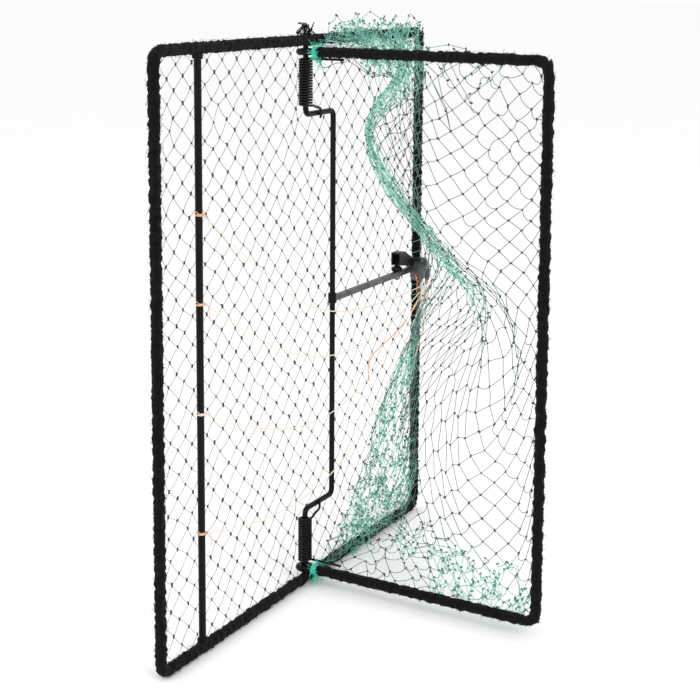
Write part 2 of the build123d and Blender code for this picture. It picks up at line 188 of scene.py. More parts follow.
railRadius = sizeOf("base_wrap_far").x / 2
trap = {
    "railX": middleOf("base_wrap_far").x,
    "topZ": middleOf("base_wrap_top").z,
    "bottomZ": middleOf("base_wrap_bottom").z,
    "bend": 0.010,
    "rod": 0.003,
    "axle": 0.0025,
    "bowEnd": middleOf("bow_wrap_side"),
    "bowTop": middleOf("bow_wrap_top").z,
    "bowBottom": middleOf("bow_wrap_bottom").z,
    "tripX": middleOf("trip_bar").x,
}
bowReach = math.hypot(trap["bowEnd"].x, trap["bowEnd"].y)
bowDirection = Vector((trap["bowEnd"].x, trap["bowEnd"].y, 0)) / bowReach
bowSide = Vector((-bowDirection.y, bowDirection.x, 0))  # square to the bow, towards the bag
middleZ = (trap["topZ"] + trap["bottomZ"]) / 2
print("rails at", round(trap["railX"], 4), "bow reach", round(bowReach, 4))


# materials

def enamelledSteel():
    # black enamel brushed on mild steel: even gloss, slight orange peel, a few scuffs that dull it
    material, tree, shader = startMaterial("blackEnamelOnSteel",
                                           {"Roughness": 0.38, "IOR": 1.5, "Specular IOR Level": 0.14})
    place = addNode(tree, "ShaderNodeTexCoord").outputs["Object"]
    patches = addNode(tree, "ShaderNodeTexNoise", {"Scale": 45.0, "Detail": 6.0, "Roughness": 0.65},
                      {"Vector": place})
    scuffs = addNode(tree, "ShaderNodeMapRange", {"From Min": 0.52, "From Max": 0.72},
                     {"Value": patches.outputs["Fac"]})
    peel = addNode(tree, "ShaderNodeTexNoise", {"Scale": 900.0, "Detail": 2.0}, {"Vector": place})
    tree.links.new(blendColours(tree, scuffs.outputs[0], "#050506", "#101012"), shader.inputs["Base Color"])
    rough = addNode(tree, "ShaderNodeMapRange", {"To Min": 0.32, "To Max": 0.6}, {"Value": scuffs.outputs[0]})
    tree.links.new(rough.outputs[0], shader.inputs["Roughness"])
    bump = addNode(tree, "ShaderNodeBump", {"Strength": 0.25, "Distance": 0.00012},
                   {"Height": peel.outputs["Fac"]})
    tree.links.new(bump.outputs[0], shader.inputs["Normal"])
    return material


def springSteel():
    # oil-blackened spring wire: dark metal with lengthwise drawing lines and a thin oily sheen
    material, tree, shader = startMaterial("oilBlackSpringWire", {"Metallic": 0.85, "Roughness": 0.36})
    uv = addNode(tree, "ShaderNodeTexCoord").outputs["UV"]
    stretched = addNode(tree, "ShaderNodeMapping", {"Scale": (40.0, 60.0, 1.0)}, {"Vector": uv})
    lines = addNode(tree, "ShaderNodeTexNoise", {"Scale": 1.0, "Detail": 4.0},
                    {"Vector": stretched.outputs[0]})
    tree.links.new(blendColours(tree, lines.outputs["Fac"], "#0f0f11", "#242427"),
                   shader.inputs["Base Color"])
    rough = addNode(tree, "ShaderNodeMapRange", {"To Min": 0.26, "To Max": 0.5},
                    {"Value": lines.outputs["Fac"]})
    tree.links.new(rough.outputs[0], shader.inputs["Roughness"])
    bump = addNode(tree, "ShaderNodeBump", {"Strength": 0.15, "Distance": 0.00008},
                   {"Height": lines.outputs["Fac"]})
    tree.links.new(bump.outputs[0], shader.inputs["Normal"])
    return material


def plainSteel(name, light, dark, spots):
    # rolled mild steel with a thin dull oxide: brushed along its length, with darker handling marks
    material, tree, shader = startMaterial(name, {"Metallic": 0.9, "Roughness": 0.45})
    place = addNode(tree, "ShaderNodeTexCoord").outputs["Object"]
    brushed = addNode(tree, "ShaderNodeMapping", {"Scale": (25.0, 900.0, 900.0)}, {"Vector": place})
    lines = addNode(tree, "ShaderNodeTexNoise", {"Scale": 1.0, "Detail": 5.0}, {"Vector": brushed.outputs[0]})
    marks = addNode(tree, "ShaderNodeTexNoise", {"Scale": 140.0, "Detail": 6.0, "Roughness": 0.6},
                    {"Vector": place})
    stain = addNode(tree, "ShaderNodeMapRange", {"From Min": 0.45, "From Max": 0.7, "To Max": spots},
                    {"Value": marks.outputs["Fac"]})
    tree.links.new(blendColours(tree, stain.outputs[0], light, dark), shader.inputs["Base Color"])
    rough = addNode(tree, "ShaderNodeMapRange", {"To Min": 0.34, "To Max": 0.62},
                    {"Value": lines.outputs["Fac"]})
    tree.links.new(rough.outputs[0], shader.inputs["Roughness"])
    bump = addNode(tree, "ShaderNodeBump", {"Strength": 0.2, "Distance": 0.0001},
                   {"Height": lines.outputs["Fac"]})
    tree.links.new(bump.outputs[0], shader.inputs["Normal"])
    return material


def cottonTape():
    # black cotton tape: plain weave of 0.5 mm yarn, drawn at 0.9 mm so that it shows, matt with a little lint
    material, tree, shader = startMaterial("blackCottonTape", {"Roughness": 0.95, "Sheen Weight": 0.04,
                                                               "Sheen Roughness": 0.6,
                                                               "Specular IOR Level": 0.08})
    source = addNode(tree, "ShaderNodeTexCoord")
    uv, place = source.outputs["UV"], source.outputs["Object"]
    warp = addNode(tree, "ShaderNodeTexWave", {"bands_direction": "X", "Scale": 350.0, "Distortion": 1.2,
                                               "Detail": 1.0},
                   {"Vector": uv})
    weft = addNode(tree, "ShaderNodeTexWave", {"bands_direction": "Y", "Scale": 350.0, "Distortion": 1.2,
                                               "Detail": 1.0},
                   {"Vector": uv})
    weave = addNode(tree, "ShaderNodeMath", {"operation": "MAXIMUM"},
                    {0: warp.outputs["Fac"], 1: weft.outputs["Fac"]})
    lint = addNode(tree, "ShaderNodeTexNoise", {"Scale": 700.0, "Detail": 6.0, "Roughness": 0.8},
                   {"Vector": place})
    fade = addNode(tree, "ShaderNodeTexNoise", {"Scale": 60.0, "Detail": 4.0}, {"Vector": place})
    specks = addNode(tree, "ShaderNodeMapRange", {"From Min": 0.5, "From Max": 0.75},
                     {"Value": lint.outputs["Fac"]})
    shade = addNode(tree, "ShaderNodeMath", {"operation": "MULTIPLY"},
                    {0: specks.outputs[0], 1: fade.outputs["Fac"]})
    tree.links.new(blendColours(tree, shade.outputs[0], "#050506", "#37373b"), shader.inputs["Base Color"])
    height = addNode(tree, "ShaderNodeMath", {"operation": "ADD"},
                     {0: weave.outputs[0], 1: lint.outputs["Fac"]})
    bump = addNode(tree, "ShaderNodeBump", {"Strength": 0.7, "Distance": 0.0003},
                   {"Height": height.outputs[0]})
    tree.links.new(bump.outputs[0], shader.inputs["Normal"])
    return material


def threadMaterial(name, light, dark, roughness=0.85, turn=0.0022, sheen=0.15):
    # twisted yarn: plies that wind round it once in each turn, with painted shade in the grooves between them
    material, tree, shader = startMaterial(name, {"Roughness": roughness, "Sheen Weight": sheen,
                                                  "Specular IOR Level": 0.12,
                                                  "Sheen Roughness": 0.5})
    source = addNode(tree, "ShaderNodeTexCoord")
    scaled = addNode(tree, "ShaderNodeMapping", {"Scale": (2.0, 1 / turn, 1.0)},
                     {"Vector": source.outputs["UV"]})
    split = addNode(tree, "ShaderNodeSeparateXYZ", None, {0: scaled.outputs[0]})
    slant = addNode(tree, "ShaderNodeMath", {"operation": "ADD"}, {0: split.outputs[0], 1: split.outputs[1]})
    saw = addNode(tree, "ShaderNodeMath", {"operation": "PINGPONG", 1: 0.5}, {0: slant.outputs[0]})
    plies = addNode(tree, "ShaderNodeMapRange", {"From Max": 0.35}, {"Value": saw.outputs[0]})
    tone = addNode(tree, "ShaderNodeTexNoise", {"Scale": 120.0, "Detail": 3.0},
                   {"Vector": source.outputs["Object"]})
    # painted shade: the colour goes to its dark end in the grooves between the plies, and drifts with a random
    # tone
    factor = addNode(tree, "ShaderNodeMath", {"operation": "MULTIPLY"},
                     {0: plies.outputs[0], 1: tone.outputs["Fac"]})
    spread = addNode(tree, "ShaderNodeMapRange", {"From Max": 0.55}, {"Value": factor.outputs[0]})
    tree.links.new(blendColours(tree, spread.outputs[0], dark, light), shader.inputs["Base Color"])
    bump = addNode(tree, "ShaderNodeBump", {"Strength": 0.6, "Distance": 0.0002},
                   {"Height": plies.outputs[0]})
    tree.links.new(bump.outputs[0], shader.inputs["Normal"])
    return material


def twineMaterial(name, light, dark, roughness, patch, loneStrandShade=None):
    # fine nylon twine: slightly waxy, its colour drifting a little from mesh to mesh
    material, tree, shader = startMaterial(name, {"Roughness": roughness, "IOR": 1.53})
    place = addNode(tree, "ShaderNodeTexCoord").outputs["Object"]
    drift = addNode(tree, "ShaderNodeTexNoise", {"Scale": 1 / patch, "Detail": 5.0, "Roughness": 0.7},
                    {"Vector": place})
    spread = addNode(tree, "ShaderNodeMapRange", {"From Min": 0.35, "From Max": 0.65},
                     {"Value": drift.outputs["Fac"]})
    hue = blendColours(tree, spread.outputs[0], dark, light)
    if loneStrandShade:  # painted light: a single strand is painted greyer, strands that lie together paler
        # painted light: the crowd attribute mixes from the grey single-strand colour to the paler bunched
        # colour
        crowd = addNode(tree, "ShaderNodeAttribute", {"attribute_name": "crowd"})
        mix = addNode(tree, "ShaderNodeMix", {"data_type": "RGBA", 6: colour(loneStrandShade)},
                      {0: crowd.outputs["Fac"], 7: hue})
        hue = mix.outputs[2]
    tree.links.new(hue, shader.inputs["Base Color"])
    fine = addNode(tree, "ShaderNodeTexNoise", {"Scale": 2500.0, "Detail": 2.0}, {"Vector": place})
    bump = addNode(tree, "ShaderNodeBump", {"Strength": 0.3, "Distance": 0.0001},
                   {"Height": fine.outputs["Fac"]})
    tree.links.new(bump.outputs[0], shader.inputs["Normal"])
    return material


def blackenedSteel():
    # pressed sheet steel with a black oxide finish: satin, rubbed paler where the hand and the bow touch it
    material, tree, shader = startMaterial("blackOxideSteel",
                                           {"Metallic": 0.4, "Roughness": 0.42, "Specular IOR Level": 0.3})
    place = addNode(tree, "ShaderNodeTexCoord").outputs["Object"]
    rub = addNode(tree, "ShaderNodeTexNoise", {"Scale": 220.0, "Detail": 5.0, "Roughness": 0.6},
                  {"Vector": place})
    worn = addNode(tree, "ShaderNodeMapRange", {"From Min": 0.58, "From Max": 0.74},
                   {"Value": rub.outputs["Fac"]})
    tree.links.new(blendColours(tree, worn.outputs[0], "#0b0b0d", "#2b2b2e"), shader.inputs["Base Color"])
    grain = addNode(tree, "ShaderNodeTexNoise", {"Scale": 1800.0, "Detail": 2.0}, {"Vector": place})
    rough = addNode(tree, "ShaderNodeMapRange", {"To Min": 0.3, "To Max": 0.55},
                    {"Value": grain.outputs["Fac"]})
    tree.links.new(rough.outputs[0], shader.inputs["Roughness"])
    bump = addNode(tree, "ShaderNodeBump", {"Strength": 0.2, "Distance": 0.00008},
                   {"Height": grain.outputs["Fac"]})
    tree.links.new(bump.outputs[0], shader.inputs["Normal"])
    return material


def whiteStudioPaper():
    # seamless white studio paper, faintly uneven
    material, tree, shader = startMaterial("studioPaper", {"Roughness": 0.9, "Specular IOR Level": 0.1})
    place = addNode(tree, "ShaderNodeTexCoord").outputs["Object"]
    tooth = addNode(tree, "ShaderNodeTexNoise", {"Scale": 6.0, "Detail": 4.0}, {"Vector": place})
    tree.links.new(blendColours(tree, tooth.outputs["Fac"], "#fcfcfb", "#ffffff"),
                   shader.inputs["Base Color"])
    return material


enamel = enamelledSteel()
springWire = springSteel()
armSteel = plainSteel("rolledMildSteel", "#6a6b6e", "#3c3c40", 0.8)
nutSteel = plainSteel("zincPlatedSteel", "#8d8f92", "#5c5d60", 0.6)
tape = cottonTape()
creamCotton = threadMaterial("creamCottonThread", "#f7ebdb", "#e6cdb2")
peachCotton = threadMaterial("peachCottonThread", "#f4cbb0", "#dfa27e")
orangeCotton = threadMaterial("orangeCottonThread", "#f3a873", "#dc7d4a")
blackCotton = threadMaterial("blackCottonThread", "#1a1a1d", "#060607", sheen=0.03)
brightTwine = threadMaterial("brightTealTwine", "#5fe6cc", "#2bb39b", 0.55, 0.0016, 0.1)
paleTwine = threadMaterial("paleTealTwine", "#7fb3a5", "#3f6e63", 0.55, 0.0016, 0.1)
floorTwine = twineMaterial("greyNylonTwine", "#7a827f", "#4a504e", 0.55, 0.02)
floorKnot = twineMaterial("greyNylonKnot", "#222524", "#141615", 0.6, 0.01)
# bag net: the last colour is painted on single strands, and the paler pair on bunched twine, as painted light
bagTwine = twineMaterial("tealNylonTwine", "#9fe3d0", "#66b3a1", 0.42, 0.02, "#41635b")
bagKnot = twineMaterial("tealNylonKnot", "#5c9587", "#376b60", 0.5, 0.01, "#1f2f2b")
blackOxide = blackenedSteel()
print("materials ready")

finishes = {
    "base_frame_rod": enamel, "bow_rod": enamel, "crank_axle": enamel, "trip_bar": enamel,
            "brace_collar": enamel,
    "brace_arm": armSteel, "latch_bracket": armSteel, "latch_pin": nutSteel, "adjusting_nut": nutSteel,
    "latch_lever": blackOxide,
}
for node, material in finishes.items():
    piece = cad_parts[node]
    if not piece.material_slots:
        piece.data.materials.append(material)
    for place in piece.material_slots:
        place.material = material


# geometry node trees

def startTree(name, inputs):
    tree = bpy.data.node_groups.new(name, "GeometryNodeTree")
    tree.interface.new_socket("Geometry", in_out="INPUT", socket_type="NodeSocketGeometry")
    for label, kind, value in inputs:
        socket = tree.interface.new_socket(label, in_out="INPUT", socket_type=kind)
        if value is not None:
            socket.default_value = value
    tree.interface.new_socket("Geometry", in_out="OUTPUT", socket_type="NodeSocketGeometry")
    return tree, addNode(tree, "NodeGroupInput").outputs, addNode(tree, "NodeGroupOutput").inputs


def growPiece(source, tree, values, name, keep=False):
    # runs a tree on an object and keeps the result as a plain mesh piece
    modifier = source.modifiers.new(tree.name, "NODES")
    modifier.node_group = tree
    for item in tree.interface.items_tree:
        if item.item_type == "SOCKET" and item.in_out == "INPUT" and item.name in values:
            modifier[item.identifier] = values[item.name]
    graph = bpy.context.evaluated_depsgraph_get()
    mesh = bpy.data.meshes.new_from_object(source.evaluated_get(graph), depsgraph=graph)
    source.modifiers.remove(modifier)
    mesh.name = name
    piece = bpy.data.objects.new(name, mesh)
    bpy.context.scene.collection.objects.link(piece)
    if not keep:
        bpy.data.objects.remove(source)
    print("  ", name, len(mesh.loops) - 2 * len(mesh.polygons), "triangles")
    return piece


def knottedNetTree():
    # twines become round tubes and every marked point gets a lumpy knot
    tree, given, out = startTree("knottedNet", [
        ("Twine Radius", "NodeSocketFloat", 0.0003), ("Knot Width", "NodeSocketFloat", 0.001),
        ("Knot Length", "NodeSocketFloat", 0.002), ("Knot Tilt", "NodeSocketFloat", 0.3),
                                                ("Seed", "NodeSocketInt", 1),
        ("Twine Material", "NodeSocketMaterial", None), ("Knot Material", "NodeSocketMaterial", None)])
    lines = addNode(tree, "GeometryNodeMeshToCurve", None, {"Mesh": given["Geometry"]})
    ring = addNode(tree, "GeometryNodeCurvePrimitiveCircle", {"Resolution": 5},
                   {"Radius": given["Twine Radius"]})
    tubes = addNode(tree, "GeometryNodeCurveToMesh", None,
                    {"Curve": lines.outputs[0], "Profile Curve": ring.outputs[0]})
    twines = addNode(tree, "GeometryNodeSetMaterial", None,
                     {"Geometry": tubes.outputs[0], "Material": given["Twine Material"]})
    marked = addNode(tree, "GeometryNodeInputNamedAttribute", {"data_type": "BOOLEAN", "Name": "knot"})
    spots = addNode(tree, "GeometryNodeMeshToPoints", None,
                    {"Mesh": given["Geometry"], "Selection": marked.outputs["Attribute"]})
    ball = addNode(tree, "GeometryNodeMeshUVSphere", {"Segments": 6, "Rings": 4, "Radius": 1.0})
    lumps = addNode(tree, "ShaderNodeTexNoise", {"Scale": 1.3, "Detail": 1.0})
    push = addNode(tree, "ShaderNodeVectorMath", {"operation": "MULTIPLY_ADD", 1: (1.1, 1.1, 1.1),
                                                  2: (-0.55, -0.55, -0.55)},
                   {0: lumps.outputs["Color"]})
    lumpy = addNode(tree, "GeometryNodeSetPosition", None,
                    {"Geometry": ball.outputs[0], "Offset": push.outputs[0]})
    spin = addNode(tree, "FunctionNodeRandomValue", {"data_type": "FLOAT_VECTOR"}, {"Seed": given["Seed"]})
    most = addNode(tree, "ShaderNodeCombineXYZ", {2: 3.14}, {0: given["Knot Tilt"], 1: given["Knot Tilt"]})
    least = addNode(tree, "ShaderNodeVectorMath", {"operation": "SCALE", "Scale": -1.0}, {0: most.outputs[0]})
    tree.links.new(least.outputs[0], spin.inputs[0])
    tree.links.new(most.outputs[0], spin.inputs[1])
    shape = addNode(tree, "ShaderNodeCombineXYZ", None,
                    {0: given["Knot Width"], 1: given["Knot Width"], 2: given["Knot Length"]})
    size = addNode(tree, "FunctionNodeRandomValue", {"data_type": "FLOAT", 2: 0.8, 3: 1.25},
                   {"Seed": given["Seed"]})
    sized = addNode(tree, "ShaderNodeVectorMath", {"operation": "SCALE"},
                    {0: shape.outputs[0], "Scale": size.outputs[1]})
    placed = addNode(tree, "GeometryNodeInstanceOnPoints", None,
                     {"Points": spots.outputs[0], "Instance": lumpy.outputs[0], "Rotation": spin.outputs[0],
                      "Scale": sized.outputs[0]})
    real = addNode(tree, "GeometryNodeRealizeInstances", None, {"Geometry": placed.outputs[0]})
    knots = addNode(tree, "GeometryNodeSetMaterial", None,
                    {"Geometry": real.outputs[0], "Material": given["Knot Material"]})
    both = addNode(tree, "GeometryNodeJoinGeometry")
    tree.links.new(twines.outputs[0], both.inputs[0])
    tree.links.new(knots.outputs[0], both.inputs[0])
    smooth = addNode(tree, "GeometryNodeSetShadeSmooth", None, {"Geometry": both.outputs[0]})
    tree.links.new(smooth.outputs[0], out["Geometry"])
    return tree


def frayTree():
    # short bent fibres that stand out of cloth, each turned and sized at random
    tree, given, out = startTree("frayedFibres", [
        ("Density", "NodeSocketFloat", 20000.0), ("Fibre Length", "NodeSocketFloat", 0.003),
        ("Fibre Radius", "NodeSocketFloat", 0.0001), ("Seed", "NodeSocketInt", 1),
                                                  ("Material", "NodeSocketMaterial", None)])
    spots = addNode(tree, "GeometryNodeDistributePointsOnFaces", None,
                    {"Mesh": given["Geometry"], "Density": given["Density"], "Seed": given["Seed"]})
    bend = addNode(tree, "GeometryNodeCurveQuadraticBezier",
                   {"Resolution": 4, "Start": (0, 0, -0.15), "Middle": (0.1, 0.0, 0.75),
                    "End": (0.85, 0.25, 0.55)})
    ring = addNode(tree, "GeometryNodeCurvePrimitiveCircle", {"Resolution": 3})
    ratio = addNode(tree, "ShaderNodeMath", {"operation": "DIVIDE"},
                    {0: given["Fibre Radius"], 1: given["Fibre Length"]})
    tree.links.new(ratio.outputs[0], ring.inputs["Radius"])
    fibre = addNode(tree, "GeometryNodeCurveToMesh", {"Fill Caps": True},
                    {"Curve": bend.outputs[0], "Profile Curve": ring.outputs[0]})
    lean = addNode(tree, "FunctionNodeRandomValue",
                   {"data_type": "FLOAT_VECTOR", 0: (-0.7, -0.7, -3.14), 1: (0.7, 0.7, 3.14)},
                   {"Seed": given["Seed"]})
    turned = addNode(tree, "FunctionNodeRotateEuler", {"rotation_type": "EULER", "space": "LOCAL"},
                     {0: spots.outputs["Rotation"], 1: lean.outputs[0]})
    size = addNode(tree, "FunctionNodeRandomValue", {"data_type": "FLOAT", 2: 0.35, 3: 1.3},
                   {"Seed": given["Seed"]})
    length = addNode(tree, "ShaderNodeMath", {"operation": "MULTIPLY"},
                     {0: size.outputs[1], 1: given["Fibre Length"]})
    placed = addNode(tree, "GeometryNodeInstanceOnPoints", None,
                     {"Points": spots.outputs["Points"], "Instance": fibre.outputs[0],
                      "Rotation": turned.outputs[0],
                      "Scale": length.outputs[0]})
    real = addNode(tree, "GeometryNodeRealizeInstances", None, {"Geometry": placed.outputs[0]})
    painted = addNode(tree, "GeometryNodeSetMaterial", None,
                      {"Geometry": real.outputs[0], "Material": given["Material"]})
    tree.links.new(painted.outputs[0], out["Geometry"])
    return tree


netTree = knottedNetTree()
fibreTree = frayTree()


def netLines(name, knots, twines, lengths, droop, seed, crowd=None):
    # a wire mesh of knots joined by twines; a slack twine bows out by its spare length
    rng = np.random.default_rng(seed)
    knots = np.asarray(knots, float)
    first, last = knots[twines[:, 0]], knots[twines[:, 1]]
    span = np.linalg.norm(last - first, axis=1)
    spare = np.clip(lengths - span, 0, None)
    depth = np.sqrt(0.375 * spare * np.maximum(span, 0.2 * lengths)) * droop
    way = rng.normal(0, 0.45, (len(twines), 3)) + np.array([0, 0, -0.6])
    axis = (last - first) / np.maximum(span, 1e-6)[:, None]
    way -= axis * (way * axis).sum(1)[:, None]
    way /= np.linalg.norm(way, axis=1)[:, None] + 1e-9
    inner = []
    for t in (0.3, 0.7):
        inner.append(first + (last - first) * t + way * (depth * 0.84)[:, None])
    points = np.concatenate([knots, inner[0], inner[1]])
    count, many = len(knots), len(twines)
    serial = np.arange(many)
    edges = np.concatenate([np.stack([twines[:, 0], count + serial], 1),
                            np.stack([count + serial, count + many + serial], 1),
                            np.stack([count + many + serial, twines[:, 1]], 1)])
    mesh = bpy.data.meshes.new(name)
    mesh.from_pydata(points.tolist(), edges.tolist(), [])
    marks = mesh.attributes.new("knot", "BOOLEAN", "POINT")
    marks.data.foreach_set("value", np.arange(len(points)) < count)
    # crowd, when given, is kept as a point attribute that the twine material turns into painted light
    if crowd is not None:
        between = (crowd[twines[:, 0]] + crowd[twines[:, 1]]) / 2
        shade = mesh.attributes.new("crowd", "FLOAT", "POINT")
        shade.data.foreach_set("value", np.concatenate([crowd, between, between]).astype(np.float32))
    line = bpy.data.objects.new(name, mesh)
    bpy.context.scene.collection.objects.link(line)
    return line


# cloth winding on the rails

winding = {"tapePitch": 0.0105, "tapeEdge": 0.0006, "ringStep": 0.0011, "sides": 26, "lump": 0.0013,
           "fibreDensity": 95000.0, "fibreLength": 0.0023, "fibreRadius": 0.00012}


def roundedRoute(corners, radius, step):
    # an evenly stepped line through flat corners, each rounded to the radius
    corners = [Vector(c) for c in corners]
    line = [corners[0]]
    for before, here, after in zip(corners, corners[1:], corners[2:]):
        into, away = (before - here).normalized(), (after - here).normalized()
        centre = here + (into + away) * radius
        for k in range(9):
            t = math.radians(90) * k / 8
            line.append(centre - away * radius * math.cos(t) - into * radius * math.sin(t))
    line.append(corners[-1])
    line = np.array([tuple(p) for p in line])
    travel = np.concatenate([[0], np.cumsum(np.linalg.norm(np.diff(line, axis=0), axis=1))])
    count = int(travel[-1] / step)
    wanted = np.linspace(0, travel[-1], count + 1)
    return np.stack([np.interp(wanted, travel, line[:, a]) for a in range(3)], 1), wanted


def woundCloth(name, corners, flat, seed, closed):
    route, travel = roundedRoute(corners, trap["bend"], winding["ringStep"])
    if closed:
        route, travel = route[:-1], travel[:-1]
        before, after = np.roll(route, 1, axis=0), np.roll(route, -1, axis=0)
    else:
        before, after = np.vstack([route[:1], route[:-1]]), np.vstack([route[1:], route[-1:]])
    along = after - before
    along /= np.linalg.norm(along, axis=1)[:, None]
    flat = np.array(flat, float)
    side = np.cross(along, flat)
    sides = winding["sides"]
    angles = np.arange(sides) * 2 * math.pi / sides
    points = []
    for k, (centre, out, s) in enumerate(zip(route, side, travel)):
        for a in angles:
            way = out * math.cos(a) + flat * math.sin(a)
            turn = (s / winding["tapePitch"] - a / (2 * math.pi)
                    + 0.22 * noise.noise(Vector((s * 14, seed * 3.1, 0.0)))) % 1.0
            lap = winding["tapeEdge"] * (1 - turn if turn > 0.06 else turn / 0.06 * 0.94)
            spot = Vector(centre) + Vector(way) * railRadius
            lump = noise.noise(spot * 210 + Vector((seed, 0, 0))) * winding["lump"]
            fuzz = noise.noise(spot * 1100) * winding["lump"] * 0.5
            points.append(spot + Vector(way) * (lap - 0.0006 + lump + fuzz))
    rings = len(route)
    faces, uvs = [], []
    around = 2 * math.pi * railRadius
    for k in range(rings if closed else rings - 1):
        n = (k + 1) % rings
        for a in range(sides):
            b = (a + 1) % sides
            faces.append((k * sides + a, n * sides + a, n * sides + b, k * sides + b))
            s, e = travel[k], travel[k] + winding["ringStep"]
            slant = 0.34
            uvs += [(s + slant * around * a / sides, around * a / sides),
                    (e + slant * around * a / sides, around * a / sides),
                    (e + slant * around * (a + 1) / sides, around * (a + 1) / sides),
                    (s + slant * around * (a + 1) / sides, around * (a + 1) / sides)]
    if not closed:
        faces.append(tuple(range(sides)))
        faces.append(tuple((rings - 1) * sides + a for a in range(sides - 1, -1, -1)))
        uvs += [(0, 0)] * (2 * sides)
    return newPiece(name, points, faces, tape, uvs)


def fixNormals(piece):
    work = bmesh.new()
    work.from_mesh(piece.data)
    bmesh.ops.recalc_face_normals(work, faces=work.faces)
    work.to_mesh(piece.data)
    work.free()


x, top, bottom = trap["railX"], trap["topZ"], trap["bottomZ"]
baseWinding = woundCloth("baseWinding", [(-0.05, 0, bottom), (x, 0, bottom), (x, 0, top), (-x, 0, top),
                                         (-x, 0, bottom),
                                         (-0.05, 0, bottom)], (0, 1, 0), 1, True)
fixNormals(baseWinding)
bowOut = lambda along, height: tuple(bowDirection * along + Vector((0, 0, height)))
bowWinding = woundCloth("bowWinding", [bowOut(0.0142, trap["bowTop"]), bowOut(bowReach, trap["bowTop"]),
                                       bowOut(bowReach, trap["bowBottom"]),
                                       bowOut(0.0142, trap["bowBottom"])],
                        tuple(bowSide), 2, False)
fixNormals(bowWinding)
frayValues = {"Density": winding["fibreDensity"], "Fibre Length": winding["fibreLength"],
              "Fibre Radius": winding["fibreRadius"], "Material": tape}
baseFray = growPiece(baseWinding, fibreTree, dict(frayValues, Seed=3), "baseFray", keep=True)
bowFray = growPiece(bowWinding, fibreTree, dict(frayValues, Seed=4), "bowFray", keep=True)
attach(baseWinding, "base")
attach(baseFray, "base")
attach(bowWinding, "bow")
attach(bowFray, "bow")
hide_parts("base_wrap_top", "base_wrap_bottom", "base_wrap_near", "base_wrap_far",
            "base_corner_wraps")
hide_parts("bow_wrap_top", "bow_wrap_bottom", "bow_wrap_side", "bow_corner_wraps")
print("windings done")


# floor net

floorNet = {"columns": 42, "rows": 48, "depth": 0.0044, "wander": 0.0011, "twineRadius": 0.00023,
            "knotWidth": 0.00085, "knotLength": 0.0018}


def diamondKnots(columns, rows):
    index = {}
    for i in range(rows + 1):
        for j in range(columns + 1):
            if (i + j) % 2 == 0:
                index[(i, j)] = len(index)
    twines = []
    for (i, j), k in index.items():
        for way in (-1, 1):
            if (i + 1, j + way) in index:
                twines.append((k, index[(i + 1, j + way)]))
    return index, np.array(twines)


def layFloorNet():
    rng = np.random.default_rng(11)
    index, twines = diamondKnots(floorNet["columns"], floorNet["rows"])
    knots = []
    for i, j in index:
        u, v = j / floorNet["columns"] * 2 - 1, i / floorNet["rows"]
        spot = Vector((u * (trap["railX"] - 0.001), 0,
                       trap["bottomZ"] + 0.001 + v * (trap["topZ"] - trap["bottomZ"] - 0.002)))
        inside = min(1.0, (1 - abs(u)) * 12, v * 12, (1 - v) * 12)
        drift = noise.noise_vector(spot * 14) * 0.004 * inside
        jitter = rng.normal(0, floorNet["wander"], 3) * inside
        depth = floorNet["depth"] * (0.45 + 0.55 * inside) + abs(jitter[1]) * 0.5
        ends = min(v, 1 - v) * (trap["topZ"] - trap["bottomZ"])
        if abs(spot.x) < 0.03 and ends < 0.085:  # the net passes behind the springs
            depth = max(depth, 0.0084 * math.exp(-(spot.x / 0.016) ** 2) * min(1.0, ends / 0.012))
        knots.append((spot.x + drift.x + jitter[0], depth, spot.z + drift.z + jitter[2]))
    knots = np.array(knots)
    span = np.linalg.norm(knots[twines[:, 0]] - knots[twines[:, 1]], axis=1)
    lines = netLines("floorNetLines", knots, twines, span * 1.012, 0.6, 12)
    return growPiece(lines, netTree, {
        "Twine Radius": floorNet["twineRadius"], "Knot Width": floorNet["knotWidth"],
        "Knot Length": floorNet["knotLength"], "Knot Tilt": 0.35, "Seed": 5,
        "Twine Material": floorTwine, "Knot Material": floorKnot}, "floorNet")


floorMesh = layFloorNet()
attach(floorMesh, "base")
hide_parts("floor_net")
print("floor net done")


# torsion springs

spring = {"wire": 0.0011, "radius": 0.0054, "turns": 16, "stepsPerTurn": 26,
          "hookReach": 0.022, "hookDrop": 0.0125, "outerLeg": 0.036}


def springWirePath():
    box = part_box("upper_spring")
    top = box[1].z - spring["wire"] if hasattr(box[1], "z") else box[1][2] - spring["wire"]
    low = (box[0].z if hasattr(box[0], "z") else box[0][2]) + 0.011 + spring["wire"]
    bowTurn = math.atan2(bowDirection.y, bowDirection.x)
    start, end = -math.pi / 2, bowTurn + math.pi / 2
    swing = -(spring["turns"] * 2 * math.pi + (start - end) % (2 * math.pi))
    count = int(abs(swing) / (2 * math.pi) * spring["stepsPerTurn"])
    coil = []
    for k in range(count + 1):
        t = k / count
        a = start + swing * t
        coil.append(Vector((spring["radius"] * math.cos(a), spring["radius"] * math.sin(a),
                            low + (top - low) * t)))
    hookY = -(trap["axle"] + spring["wire"] + 0.00015)
    reach = spring["hookReach"]
    inner = smoothLine([(reach + 0.0006, hookY + 0.0006, low - spring["hookDrop"]),
                        (reach, hookY, low - 0.0078),
                        (reach - 0.0010, hookY - 0.0003, low - 0.0048),
                        (reach - 0.0035, hookY - 0.0010, low - 0.0036),
                        (0.0100, -0.0050, low - 0.0018), (0.0045, -0.0054, low - 0.0002)], 7)
    leg = [coil[-1] + bowDirection * (spring["outerLeg"] * k / 12) for k in range(1, 13)]
    return inner + coil + leg, low, top


wirePath, coilLow, coilTop = springWirePath()
upperSpring = tubeAlong("upperSpring", wirePath, spring["wire"], 10, springWire)
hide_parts("upper_spring")
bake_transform(upperSpring)
mirrored = [Vector((p.x, p.y, 2 * middleZ - p.z)) for p in wirePath]
lowerSpring = tubeAlong("lowerSpring", mirrored, spring["wire"], 10, springWire)
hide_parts("lower_spring")
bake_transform(lowerSpring)
print("springs done")


# trip threads

